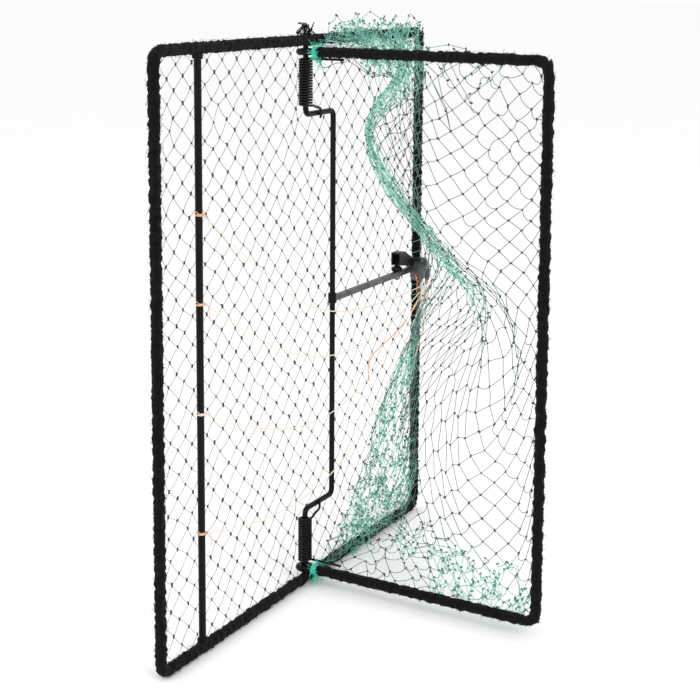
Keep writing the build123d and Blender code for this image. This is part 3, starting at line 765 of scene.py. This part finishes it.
threads = {
    "tripThread1": ("trip_thread_1", creamCotton, [
        (-0.178, -0.0026, 0.3635), (-0.140, -0.0075, 0.334), (-0.096, -0.0105, 0.3045),
                                                   (-0.046, -0.0095, 0.277),
        (0.004, -0.0076, 0.2565), (0.054, -0.0062, 0.2438), (0.104, -0.0066, 0.2384), (0.150, -0.0086, 0.237),
        (0.194, -0.012, 0.2382), (0.228, -0.0154, 0.2416)]),
    "tripThread2": ("trip_thread_2", creamCotton, [
        (-0.178, -0.0026, 0.2915), (-0.138, -0.0065, 0.2685), (-0.094, -0.009, 0.246),
                                                   (-0.046, -0.0086, 0.226),
        (0.004, -0.007, 0.2115), (0.054, -0.0056, 0.2036), (0.102, -0.0064, 0.2026), (0.146, -0.009, 0.209),
        (0.190, -0.0126, 0.222), (0.2276, -0.0162, 0.2392)]),
    "tripThread3": ("trip_thread_3", creamCotton, [
        (-0.178, -0.0026, 0.2015), (-0.136, -0.0056, 0.184), (-0.092, -0.008, 0.1686),
                                                   (-0.044, -0.008, 0.1566),
        (0.006, -0.0066, 0.1504), (0.054, -0.0054, 0.1514), (0.100, -0.0064, 0.161), (0.144, -0.0094, 0.1804),
        (0.186, -0.0136, 0.208), (0.226, -0.0174, 0.2378)]),
    "tripThread4": ("trip_thread_4", creamCotton, [
        (-0.178, -0.0026, 0.1015), (-0.136, -0.0056, 0.0934), (-0.092, -0.008, 0.088),
                                                   (-0.044, -0.008, 0.0856),
        (0.006, -0.0066, 0.087), (0.054, -0.0054, 0.0948), (0.098, -0.0068, 0.1124), (0.136, -0.0096, 0.139),
        (0.170, -0.0128, 0.1704), (0.202, -0.0158, 0.205), (0.229, -0.0186, 0.237)]),
    "threadTailLong": ("thread_tail_long", orangeCotton, [
        (0.236, -0.0166, 0.2386), (0.224, -0.0146, 0.2294), (0.208, -0.0126, 0.2178), (0.188, -0.011, 0.2068),
        (0.164, -0.0096, 0.199), (0.141, -0.0088, 0.1944), (0.121, -0.0084, 0.1886), (0.112, -0.0086, 0.178),
        (0.115, -0.0094, 0.166)]),
    "threadTailShort": ("thread_tail_short", peachCotton, [
        (0.239, -0.017, 0.2392), (0.233, -0.0184, 0.222), (0.222, -0.019, 0.2016), (0.209, -0.0182, 0.179),
        (0.197, -0.0168, 0.155), (0.189, -0.0156, 0.131), (0.186, -0.015, 0.110)]),
}
threadRadius = 0.0005
knotAt = middleOf("trip_knot")


def splineThrough(name, points):
    # the smooth line that a limp thread takes, read from a NURBS spline with no thickness
    curve = bpy.data.curves.new(name, "CURVE")
    curve.dimensions = "3D"
    line = curve.splines.new("NURBS")
    line.points.add(len(points) - 1)
    for spot, point in zip(line.points, points):
        spot.co = (*point, 1.0)
    line.order_u = 3
    line.use_endpoint_u = True
    line.resolution_u = 10
    holder = bpy.data.objects.new(name, curve)
    bpy.context.scene.collection.objects.link(holder)
    bpy.context.view_layer.update()
    mesh = bpy.data.meshes.new_from_object(holder)
    path = [v.co.copy() for v in mesh.vertices]
    bpy.data.objects.remove(holder)
    return path


for name, (node, material, points) in threads.items():
    path = splineThrough(name + "Line", points)
    thread = tubeAlong(name, path, threadRadius, 8, material)
    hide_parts(node)
    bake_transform(thread)
print("threads done")


# thread ties on the trip bar

ties = {"threadRadius": 0.00034, "turns": 2.1, "pitch": 0.0007, "barRadius": 0.003}


def tieOnBar(name, height, material, seed):
    rng = random.Random(seed)
    wound = ties["barRadius"] + ties["threadRadius"] * 0.95
    path = [Vector((trap["tripX"] - 0.011 - rng.uniform(0, 0.004), -0.001 - rng.uniform(0, 0.002),
                    height + rng.uniform(0.004, 0.009))),
            Vector((trap["tripX"] - 0.0075, -0.0015, height + 0.004)),
            Vector((trap["tripX"] - 0.0045, -0.0025, height + 0.0015))]
    count = int(ties["turns"] * 14)
    for k in range(count + 1):
        a = math.pi * 1.1 + 2 * math.pi * ties["turns"] * k / count
        rise = height + 0.0012 - ties["pitch"] * ties["turns"] * k / count + rng.uniform(-0.00012, 0.00012)
        path.append(Vector((trap["tripX"] + wound * math.cos(a), wound * math.sin(a), rise)))
    end = path[-1]
    path += [end + Vector((0.0015, -0.0012, 0.0002)), Vector((trap["tripX"] + 0.0042, -0.0026,
                                                              height - 0.0006))]
    coil = tubeAlong(name + "Coil", path[2:], ties["threadRadius"], 7, material)
    tail = tubeAlong(name + "Tail", smoothLine(path[:3], 5), ties["threadRadius"] * 0.8, 6, material)
    lump = smoothLine([Vector((trap["tripX"] + 0.0042, -0.0026, height)) + Vector((
        rng.uniform(-0.0009, 0.0009), rng.uniform(-0.0009, 0.0009), rng.uniform(-0.0012,
                                                                                0.0012))) for _ in range(11)],
                      4)
    bead = tubeAlong(name + "Bead", lump, ties["threadRadius"], 6, material)
    end2 = Vector((trap["tripX"] + 0.008, -0.0045, height - 0.008 - rng.uniform(0, 0.004)))
    short = tubeAlong(name + "End", smoothLine([(trap["tripX"] + 0.0042, -0.0028, height),
                                                (trap["tripX"] + 0.0072, -0.004, height - 0.002), end2], 5),
                      ties["threadRadius"] * 0.8, 6, material)
    return [coil, tail, bead, short]


tieMaterials = [peachCotton, peachCotton, creamCotton, peachCotton]
tieHeights = [0.364, 0.292, 0.202, 0.102]
tieParts = []
for k, (height, material) in enumerate(zip(tieHeights, tieMaterials)):
    tieParts += tieOnBar("tie%d" % (k + 1), height, material, 30 + k)
tripTies = joinPieces("tripTies", tieParts)
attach(tripTies, "base")
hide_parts("trip_ties")


# gathering knot and its thread through the bracket

def tangle(name, centre, spread, count, radius, material, seed):
    rng = random.Random(seed)
    points = []
    for k in range(count):
        a = k * 2.4 + rng.uniform(-0.4, 0.4)
        lift = math.sin(k * 1.3)
        points.append(Vector(centre) + Vector((math.cos(a) * spread[0], math.sin(a) * spread[1],
                                               lift * spread[2]))
                      * rng.uniform(0.65, 1.0))
    return tubeAlong(name, smoothLine(points, 6), radius, 7, material)


knotParts = [
    tangle("knotCore", knotAt, (0.0015, 0.0015, 0.0018), 16, 0.00055, orangeCotton, 41),
    tubeAlong("knotLoop", smoothLine([knotAt, (0.2362, -0.0160, 0.2452), (0.2370, -0.0150, 0.2475),
                                      (0.2345, -0.0150, 0.2480),
                                      (0.2335, -0.0162, 0.2450), knotAt], 8), 0.0005, 7, orangeCotton),
]
tripKnot = joinPieces("tripKnot", knotParts)
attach(tripKnot, "latch")
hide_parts("trip_knot")

bracketThread = joinPieces("bracketThread", [
    tubeAlong("bracketLoop", smoothLine([(0.2206, -0.0106, 0.2532), (0.2222, -0.0104, 0.2538),
                                         (0.2240, -0.0106, 0.2528),
                                         (0.2246, -0.0112, 0.2490), (0.2238, -0.0118, 0.2462),
                                         (0.2216, -0.0122, 0.2456),
                                         (0.2200, -0.0120, 0.2472), (0.2196, -0.0112, 0.2510),
                                         (0.2206, -0.0104, 0.2534)], 8),
              0.0005, 7, orangeCotton),
    tangle("bracketBead", (0.2197, -0.0116, 0.2500), (0.0011, 0.0010, 0.0012), 10, 0.00045, orangeCotton, 43),
    tubeAlong("bracketEnd", smoothLine([(0.2196, -0.0118, 0.2496), (0.2170, -0.0140, 0.2462),
                                        (0.2150, -0.0144, 0.2410),
                                        (0.2156, -0.0140, 0.2360)], 6), 0.0004, 6, orangeCotton)])
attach(bracketThread, "base")
print("ties and knots done")


# twine lashed on the bow's ends, with its cut tufts

lashing = {"turns": 7, "radius": 0.0036, "twine": 0.00055, "tufts": 70, "tuftRadius": 0.00022}


def lashBow(name, height, seed):
    rng = random.Random(seed)
    parts = []
    begin, end = 0.0091, 0.0143
    for layer in range(2):
        path = []
        count = lashing["turns"] * 14
        for k in range(count + 1):
            t = k / count
            a = 2 * math.pi * lashing["turns"] * t + layer * 1.7
            r = lashing["radius"] + layer * 0.0007 + rng.uniform(-0.00008, 0.00008)
            along = begin + (end - begin) * (t if layer == 0 else 1 - t)
            path.append(bowDirection * along + bowSide * (r * math.cos(a)) + Vector((0, 0,
                                                                                     height + r * math.sin(a))))
        parts.append(tubeAlong("%sLayer%d" % (name, layer), path, lashing["twine"], 7, brightTwine))
    for k in range(lashing["tufts"]):
        a = rng.uniform(0, 2 * math.pi)
        out = bowSide * math.cos(a) + Vector((0, 0, math.sin(a)))
        root = bowDirection * rng.uniform(begin, end + 0.002) + out * lashing["radius"] + Vector((0, 0,
                                                                                                  height))
        reach = rng.uniform(0.004, 0.0105)
        lean = bowDirection * rng.uniform(-0.3, 0.8) + Vector((rng.uniform(-0.4, 0.4), rng.uniform(-0.4, 0.4),
                                                               rng.uniform(-0.5, 0.3)))
        path = smoothLine([root, root + (out + lean * 0.3) * reach * 0.5, root + (out * 0.8 + lean) * reach],
                          4)
        parts.append(tubeAlong("%sTuft%d" % (name, k), path, lashing["tuftRadius"], 4, brightTwine))
    return joinPieces(name, parts)


lashTop = lashBow("bowLashingTop", trap["bowTop"], 51)
lashBottom = lashBow("bowLashingBottom", trap["bowBottom"], 52)
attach(lashTop, "bow")
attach(lashBottom, "bow")
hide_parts("bow_lashing_top")
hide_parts("bow_lashing_bottom")


# twine and cloth bound on the base frame

binding = {"pitch": 0.011, "twine": 0.00035, "bandHeight": 0.004, "tuftX": 0.09}


def whipRail():
    # pale twine whipped along the far rail, and the same twine knotted on the bottom rail
    x, rng = trap["railX"], random.Random(61)
    wound = railRadius + binding["twine"] * 0.6
    low, high = trap["bottomZ"] + 0.02, trap["topZ"] - 0.02
    turns = (high - low) / binding["pitch"]
    count = int(turns * 18)
    path = []
    for k in range(count + 1):
        a = 2 * math.pi * turns * k / count
        path.append(Vector((x + wound * math.cos(a), wound * math.sin(a), low + (high - low) * k / count
                            + 0.0012 * noise.noise(Vector((k * 0.03, 0, 0))))))
    parts = [tubeAlong("farRailWhip", path, binding["twine"], 6, paleTwine)]
    for k in range(34):
        a = rng.uniform(0, 2 * math.pi)
        out = Vector((0, math.cos(a), math.sin(a)))
        root = Vector((binding["tuftX"] + rng.uniform(-0.012, 0.012), 0, trap["bottomZ"])) + out * railRadius
        lean = Vector((rng.uniform(-0.6, 0.6), 0, rng.uniform(-0.2, 0.3)))
        reach = rng.uniform(0.004, 0.009)
        tip = root + (out * 0.7 + lean) * reach
        tip.z = max(tip.z, 0.0005)
        parts.append(tubeAlong("railTuft%d" % k, smoothLine([root, root + out * reach * 0.5, tip], 4), 0.0003,
                               4, brightTwine))
    return joinPieces("railTwine", parts)


def bindBase():
    # black thread: bands that tie the trip bar to the rails, and the snarl that is left on top of the hinge
    parts = []
    for k, (z, way) in enumerate(((trap["topZ"], -1), (trap["bottomZ"], 1))):
        path, rng = [], random.Random(71 + k)
        coils, stepsPerCoil = 4, 16
        for n in range(coils * stepsPerCoil + 1):
            a = 2 * math.pi * n / stepsPerCoil
            rise = z + way * (railRadius * 0.8 + binding["bandHeight"] * n / (coils * stepsPerCoil))
            r = trap["rod"] + 0.0006 + rng.uniform(-0.0002, 0.0003)
            path.append(Vector((trap["tripX"] + r * math.cos(a), r * math.sin(a), rise)))
        parts.append(tubeAlong("barBand%d" % k, path, 0.0009, 6, blackCotton))
    rng = random.Random(77)
    snarl = [Vector((rng.uniform(-0.011, 0.010), rng.uniform(-0.004, 0.004),
                     trap["topZ"] + 0.004 + rng.uniform(0, 0.011)))
             for _ in range(34)]
    parts.append(tubeAlong("hingeSnarl", smoothLine(snarl, 6), 0.00045, 6, blackCotton))
    return joinPieces("blackBindings", parts)


railTwine = whipRail()
blackBindings = bindBase()
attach(railTwine, "base")
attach(blackBindings, "base")
print("bindings done")


# adjusting screw with a ribbed knob

screwAt = middleOf("adjusting_screw")
screwLow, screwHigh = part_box("adjusting_screw")[0][2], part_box("adjusting_screw")[1][2]
screw = {"shank": 0.0015, "thread": 0.00016, "pitch": 0.0005, "ribs": 26, "ribDepth": 0.00035,
         "knobBase": 0.2598, "knobHeight": 0.0045, "neckHeight": 0.0015}


def turnedScrew():
    sides = 52
    knobLow, knobHigh = screw["knobBase"], screw["knobBase"] + screw["knobHeight"]
    neckHigh = knobHigh + screw["neckHeight"]
    levels = []  # height, kind, radius
    z = screwLow
    while z < knobLow - 0.0002:
        levels.append((z, "thread", screw["shank"]))
        z += 0.00009
    for dz, r, kind in ((0, 0.0016, "plain"), (0.00001, 0.0046, "plain"), (0.0006, 0.0052, "ribs"),
                        (0.0012, 0.0053, "ribs"),
                        (0.0033, 0.0053, "ribs"), (0.0040, 0.0051, "ribs"), (0.0045, 0.0045, "plain"),
                        (0.00452, 0.0027, "plain"), (0.0058, 0.00265, "plain"), (0.0060, 0.0024, "plain"),
                        (0.00602, 0.0016, "plain")):
        levels.append((knobLow + dz, kind, r))
    z = neckHigh + 0.0003
    while z < screwHigh - 0.0004:
        levels.append((z, "thread", screw["shank"]))
        z += 0.00009
    levels += [(screwHigh - 0.0003, "plain", 0.00135), (screwHigh, "plain", 0.0009)]
    points = []
    for z, kind, r in levels:
        for k in range(sides):
            a = 2 * math.pi * k / sides
            radius = r
            if kind == "thread":
                radius -= screw["thread"] * abs(((z / screw["pitch"] - k / sides) % 1.0) * 2 - 1)
            if kind == "ribs":
                radius -= screw["ribDepth"] * (0.5 - 0.5 * math.cos(a * screw["ribs"]))
            points.append((screwAt.x + radius * math.cos(a), screwAt.y + radius * math.sin(a), z))
    faces = []
    for n in range(len(levels) - 1):
        for a in range(sides):
            b = (a + 1) % sides
            faces.append((n * sides + a, n * sides + b, (n + 1) * sides + b, (n + 1) * sides + a))
    faces.append(tuple(range(sides - 1, -1, -1)))
    faces.append(tuple((len(levels) - 1) * sides + a for a in range(sides)))
    return newPiece("adjustingScrew", points, faces, blackOxide, smooth=False)


screwPiece = turnedScrew()
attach(screwPiece, "screw")
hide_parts("adjusting_screw")
print("screw done")


# bag net, laid along its folds knot by knot

bag = {"columns": 50, "rows": 52, "bar": 0.0172, "rounds": 25, "clearance": 0.0065, "twineRadius": 0.00031,
       "knotWidth": 0.00085, "knotLength": 0.0016}
# the long fold that runs down from the far corner; each share of the width leaves it after its own length
longFold = {"start": 0.95, "perMetre": 1.11, "spread": 0.0082,
            "line": [(0.225, -0.010, 0.475), (0.165, -0.018, 0.452), (0.110, -0.022, 0.438),
                     (0.070, -0.022, 0.416),
                     (0.078, -0.034, 0.376), (0.122, -0.052, 0.326), (0.132, -0.080, 0.298),
                     (0.114, -0.088, 0.288),
                     (0.084, -0.135, 0.282), (0.050, -0.176, 0.271), (0.034, -0.194, 0.242)],
            "leaves": {0.2: 0.35, 0.3: 0.37, 0.4: 0.395, 0.5: 0.425, 0.6: 0.445, 0.7: 0.46},
            "marks": (0, 0.03, 0.067, 0.095, 0.125, 0.15, 0.171, 0.2, 0.226, 0.26, 0.295, 0.336, 0.369, 0.405,
                      0.43, 0.455)}
# where each share of the width runs below or beside that fold: share of the height, then the place
runs = {
    0.10: [(0.50, 0.205, -0.020, 0.230), (0.42, 0.195, -0.020, 0.180), (0.35, 0.180, -0.020, 0.135),
           (0.27, 0.175, -0.020, 0.085), (0.10, 0.145, -0.030, 0.045)],
    0.20: [(0.51, 0.190, -0.030, 0.245), (0.45, 0.190, -0.020, 0.205), (0.36, 0.155, -0.020, 0.140),
           (0.25, 0.135, -0.020, 0.080), (0.11, 0.100, -0.030, 0.050)],
    0.30: [(0.49, 0.175, -0.040, 0.235), (0.43, 0.180, -0.020, 0.195), (0.35, 0.130, -0.020, 0.145),
           (0.26, 0.110, -0.020, 0.090), (0.12, 0.055, -0.030, 0.053)],
    0.40: [(0.47, 0.165, -0.050, 0.230), (0.40, 0.175, -0.020, 0.185), (0.33, 0.110, -0.020, 0.140),
           (0.24, 0.080, -0.020, 0.090), (0.10, 0.025, -0.030, 0.048)],
    0.50: [(0.43, 0.145, -0.070, 0.220), (0.37, 0.190, -0.020, 0.165), (0.30, 0.130, -0.020, 0.115),
           (0.21, 0.080, -0.020, 0.070), (0.08, 0.010, -0.030, 0.045)],
    0.60: [(0.41, 0.115, -0.100, 0.220), (0.35, 0.175, -0.040, 0.155), (0.30, 0.175, -0.020, 0.105),
           (0.22, 0.130, -0.028, 0.050), (0.09, 0.060, -0.045, 0.032)],
    0.70: [(0.40, 0.085, -0.125, 0.220), (0.33, 0.145, -0.070, 0.147), (0.28, 0.160, -0.050, 0.095),
           (0.20, 0.100, -0.070, 0.052), (0.09, 0.030, -0.090, 0.032)],
    0.78: [(0.88, 0.005, -0.123, 0.430), (0.77, 0.023, -0.114, 0.372), (0.67, 0.039, -0.113, 0.316),
           (0.62, 0.038, -0.152, 0.291), (0.57, 0.036, -0.184, 0.268), (0.50, 0.031, -0.176, 0.220),
           (0.42, 0.028, -0.142, 0.165), (0.34, 0.018, -0.135, 0.110), (0.22, 0.002, -0.150, 0.058),
           (0.12, -0.006, -0.148, 0.025)],
    0.84: [(0.88, 0.001, -0.153, 0.430), (0.77, 0.020, -0.145, 0.370), (0.64, 0.037, -0.145, 0.299),
           (0.60, 0.036, -0.176, 0.279), (0.56, 0.033, -0.188, 0.256), (0.48, 0.026, -0.187, 0.205),
           (0.40, 0.022, -0.169, 0.150), (0.30, 0.009, -0.169, 0.100), (0.20, -0.005, -0.183, 0.052),
           (0.11, -0.014, -0.183, 0.022)],
    0.89: [(0.88, -0.006, -0.178, 0.430), (0.77, 0.009, -0.173, 0.369), (0.61, 0.023, -0.175, 0.289),
           (0.54, 0.018, -0.194, 0.247), (0.45, 0.012, -0.195, 0.193), (0.36, 0.005, -0.198, 0.142),
           (0.27, -0.006, -0.204, 0.092), (0.16, -0.017, -0.208, 0.038), (0.09, -0.020, -0.212, 0.018)],
    0.95: [(0.88, -0.017, -0.210, 0.428), (0.76, -0.008, -0.211, 0.369), (0.62, -0.001, -0.213, 0.301),
           (0.51, -0.003, -0.218, 0.246), (0.39, -0.007, -0.221, 0.183), (0.28, -0.015, -0.226, 0.120),
           (0.14, -0.025, -0.232, 0.050)],
}

# where slack rows lie in a heap: start, end, reach, rise of the loops and their number
slackRows = [((0.010, -0.008, 0.495), (0.235, -0.008, 0.495), 0.006, (0, -0.002, 0.016), 60),
             ((0.040, -0.012, 0.488), (0.225, -0.014, 0.476), 0.010, (0, -0.004, -0.018), 50),
             ((0.040, -0.024, 0.030), (0.215, -0.018, 0.060), 0.012, (0, -0.006, 0.008), 58),
             ((0.120, -0.022, 0.090), (0.215, -0.016, 0.190), 0.010, (-0.004, -0.003, 0.004), 24),
             ((0.060, -0.060, 0.040), (-0.016, -0.215, 0.020), 0.008, (0.003, 0, 0.010), 44),
             ((0.004, -0.070, 0.484), (-0.016, -0.190, 0.484), 0.005, (0.002, 0, 0.009), 18)]


def bagEdge(u, v):
    # a point of the net's edge: u runs from the far rail past the hinge to the bow's side rail, v upwards
    if u <= 0.5:
        return np.array((trap["railX"] * (1 - 2 * u), -0.0035,
                         trap["bottomZ"] + v * (trap["topZ"] - trap["bottomZ"])))
    spot = bowDirection * (bowReach * (2 * u - 1)) + bowSide * 0.0035
    return np.array((spot.x, spot.y, trap["bowBottom"] + v * (trap["bowTop"] - trap["bowBottom"])))


def bagGuides():
    guides = []
    line = np.array(longFold["line"])
    travel = np.concatenate([[0], np.cumsum(np.linalg.norm(np.diff(line, axis=0), axis=1))])

    def alongFold(s):
        return np.array([np.interp(s, travel, line[:, a]) for a in range(3)])

    for v in np.linspace(0, 1, 11):
        guides += [(0, v, *bagEdge(0, v)), (1, v, *bagEdge(1, v))]
    for u in np.linspace(0.08, 0.96, 12):
        guides += [(u, 0, *bagEdge(u, 0)), (u, 1, *bagEdge(u, 1))]
    for k, (u, leave) in enumerate(longFold["leaves"].items()):
        for s in longFold["marks"]:
            if s <= leave:
                a, w = k * 1.05, longFold["spread"] * (1 if s > 0.1 else 1.5)
                guides.append((u, longFold["start"] - s * longFold["perMetre"],
                               *(alongFold(s) + np.array((0.8 * math.cos(a), 0.4 * math.cos(a),
                                                          math.sin(a))) * w)))
    for s in (0.03, 0.125, 0.2, 0.26, 0.31):
        v = longFold["start"] - s * 1.2
        guides.append((0.1, v, *(alongFold(s) * 0.5 + bagEdge(0, v) * 0.5 + np.array((-0.006, -0.008, 0)))))
    for u, places in runs.items():
        guides += [(u, *place) for place in places]
    return np.array(guides, float)


def spreadBetween(guides, places):
    # the smoothest sheet through the guide points (thin-plate spline), read at the given places
    def bendEnergy(squares):
        return np.where(squares > 0, squares * np.log(squares + 1e-12), 0)

    stretch = np.array((1.6, 1.0))
    known, wanted = guides[:, :2] * stretch, places * stretch
    flat = np.hstack([np.ones((len(known), 1)), known])
    matrix = np.block([[bendEnergy(((known[:, None] - known[None]) ** 2).sum(2)) + np.eye(len(known)) * 1e-4,
                        flat],
                       [flat.T, np.zeros((3, 3))]])
    weights = np.linalg.solve(matrix, np.vstack([guides[:, 2:], np.zeros((3, 3))]))
    near = bendEnergy(((wanted[:, None] - known[None]) ** 2).sum(2))
    return near @ weights[:-3] + np.hstack([np.ones((len(wanted), 1)), wanted]) @ weights[-3:]


def hangBagNet():
    rows, columns, bar = bag["rows"], bag["columns"], bag["bar"]
    index, twines = diamondKnots(columns, rows)
    cells = np.array(list(index))
    u, v = cells[:, 1] / columns, cells[:, 0] / rows
    spots = spreadBetween(bagGuides(), np.stack([u, v], 1))
    free = (cells[:, 0] % rows != 0) & (cells[:, 1] % columns != 0)
    for k in np.where(~free)[0]:
        spots[k] = bagEdge(u[k], v[k])
    rng = np.random.default_rng(3)
    count = int(free.sum())
    loops = free & (v > 0.93) & (u < 0.93)  # slack that stands up over the top rails
    spots[loops, 2] += np.where(u[loops] < 0.75, 0.020, 0.006) * rng.uniform(0, 1.2, int(loops.sum()))
    bunch = free & (v > 0.86) & (u < 0.75)
    spots[bunch] += rng.normal(0, 1, (int(bunch.sum()), 3)) * (0.014, 0.005, 0.012)
    spots[free] += rng.normal(0, 0.0016, (count, 3))
    heap = free & (v < 0.3) & (u < 0.75)
    spots[heap] += rng.normal(0, 0.004, (int(heap.sum()), 3))
    # the twines then pull back to their own length, in four sets so that no knot is in one set twice
    kind = (cells[twines[:, 0], 0] % 2) * 2 + (cells[twines[:, 1], 1] > cells[twines[:, 0], 1])
    sets = [twines[kind == k] for k in range(4)]
    weight, goal, outward = free.astype(float), spots.copy(), np.array(bowSide)
    for _ in range(bag["rounds"]):
        spots[free] += (goal[free] - spots[free]) * 0.12
        spots[free, 2] -= 0.0004
        for pairs in sets:
            gap = spots[pairs[:, 1]] - spots[pairs[:, 0]]
            size = np.linalg.norm(gap, axis=1)
            one, two = weight[pairs[:, 0]], weight[pairs[:, 1]]
            share = np.clip(size - bar, 0, None) / np.maximum(size, 1e-9) / np.maximum(one + two, 1e-9)
            spots[pairs[:, 0]] += gap * (share * one)[:, None]
            spots[pairs[:, 1]] -= gap * (share * two)[:, None]
        # in front of the floor net, behind the bow, above its bottom rail and clear of the crank
        spots[free, 1] = np.minimum(spots[free, 1], -bag["clearance"])
        spots[free, 2] = np.clip(spots[free, 2], 0.012, 0.518)
        side = spots @ outward
        past = free & (side < 0.005)
        spots[past] += np.outer(0.005 - side[past], outward)
        away = spots[:, :2] - np.array([0.054, 0.0])
        near = free & (np.linalg.norm(away, axis=1) < 0.006) & (spots[:, 2] > 0.06) & (spots[:, 2] < 0.44)
        spots[near, :2] = np.array([0.054, 0.0]) + away[near] * (
            0.006 / np.maximum(np.linalg.norm(away[near], axis=1), 1e-6))[:, None]
    span = np.linalg.norm(spots[twines[:, 0]] - spots[twines[:, 1]], axis=1)
    print("   twines lie at", round(float(span.mean() / bar), 2), "of their length")
    # slack rows that are bunched at the rails and heaped at the bottom, as loops between knots of the net
    settled = spots.copy()
    for start, end, reach, rise, count in slackRows:
        for _ in range(count):
            spot = np.array(start) + (np.array(end) - np.array(start)) * rng.uniform() + rng.normal(0, reach,
                                                                                                    3)
            order = np.argsort(((settled - spot) ** 2).sum(1))
            one, two = order[int(rng.integers(0, 4))], order[int(rng.integers(6, 30))]
            lift = np.array(rise) * rng.uniform(0.4, 1.2) + rng.normal(0, 0.003, 3)
            begin = len(spots)
            loop = np.array([settled[one] + (settled[two] - settled[one]) * t + lift * h
                             for t, h in ((0.12, 0.75), (0.5, 1.1), (0.88, 0.75))])
            loop[:, 1] = np.minimum(loop[:, 1], -bag["clearance"])
            loop[:, 2] = np.clip(loop[:, 2], 0.012, 0.520)
            loop += np.outer(np.clip(0.006 - loop @ outward, 0, None), outward)
            spots = np.vstack([spots, loop])
            twines = np.vstack([twines, [(one, begin), (begin, begin + 1), (begin + 1, begin + 2),
                                         (begin + 2, two)]])
    # how many knots lie within 12 mm of each knot: from it the bag twine is painted paler where twines bunch
    # and greyer where one lies single, as painted light
    crowd = np.array([(((spots - spot) ** 2).sum(1) < 0.012 ** 2).sum() for spot in spots])
    crowd = np.clip((crowd - 3) / 5, 0, 1)
    return netLines("bagNetLines", spots, twines, np.full(len(twines), bar), 0.8, 22, crowd)


bagNet = growPiece(hangBagNet(), netTree, {
    "Twine Radius": bag["twineRadius"], "Knot Width": bag["knotWidth"], "Knot Length": bag["knotLength"],
    "Knot Tilt": 1.2, "Seed": 8, "Twine Material": bagTwine, "Knot Material": bagKnot}, "bagNet")
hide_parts("bag_net")
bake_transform(bagNet)
print("bag net done")


# floor, light and camera

studio = {"skyStrength": 1.0, "keyPower": 26.0, "fillPower": 12.0}
paperReach, paperZ = 30, -0.0005
paperCorners = [(x * paperReach, y * paperReach, paperZ) for x, y in ((-1, -1), (1, -1), (1, 1), (-1, 1))]
floor = newPiece("studioFloor", paperCorners, [(0, 1, 2, 3)], whiteStudioPaper(), smooth=False)
world = bpy.data.worlds.new("studioSky")
world.use_nodes = True
sky = world.node_tree.nodes["Background"]
sky.inputs["Color"].default_value = colour("#fdfdfd")
sky.inputs["Strength"].default_value = studio["skyStrength"]
bpy.context.scene.world = world
bpy.context.scene.view_settings.view_transform = "Standard"


def softLight(name, place, aim, size, power):
    light = bpy.data.lights.new(name, "AREA")
    light.shape = "DISK"
    light.size = size
    light.energy = power
    holder = bpy.data.objects.new(name, light)
    bpy.context.scene.collection.objects.link(holder)
    holder.location = place
    holder.rotation_euler = (Vector(aim) - Vector(place)).to_track_quat("-Z", "Y").to_euler()


centre = (Vector(cadBox[0]) + Vector(cadBox[1])) / 2
softLight("keyLight", (-1.5, -1.9, 1.7), centre, 1.3, studio["keyPower"])
softLight("fillLight", (-1.9, 1.1, 1.0), centre, 1.6, studio["fillPower"])

view = {"place": (-1.316, -0.686, 0.5555), "azimuth": -64.0, "pitch": 9.4, "roll": 0.34, "lens": 86.9,
        "rise": -0.143}
camera = bpy.data.cameras.new("camera")
camera.lens = view["lens"]
camera.sensor_width = 36.0
camera.shift_y = view["rise"]
camera.clip_start = 0.05
camera.clip_end = 60.0
eye = bpy.data.objects.new("camera", camera)
bpy.context.scene.collection.objects.link(eye)
a, e, r = (math.radians(view[k]) for k in ("azimuth", "pitch", "roll"))
back = Vector((math.sin(a) * math.cos(e), -math.cos(a) * math.cos(e), math.sin(e)))
right = Vector((math.cos(a), math.sin(a), 0))
up = back.cross(right)
turnedRight = right * math.cos(r) + up * math.sin(r)
turnedUp = back.cross(turnedRight)
eye.matrix_world = Matrix((
    (turnedRight.x, turnedUp.x, back.x, view["place"][0]),
                           (turnedRight.y, turnedUp.y, back.y, view["place"][1]),
    (turnedRight.z, turnedUp.z, back.z, view["place"][2]), (0, 0, 0, 1)))
bpy.context.scene.camera = eye
print("camera set")
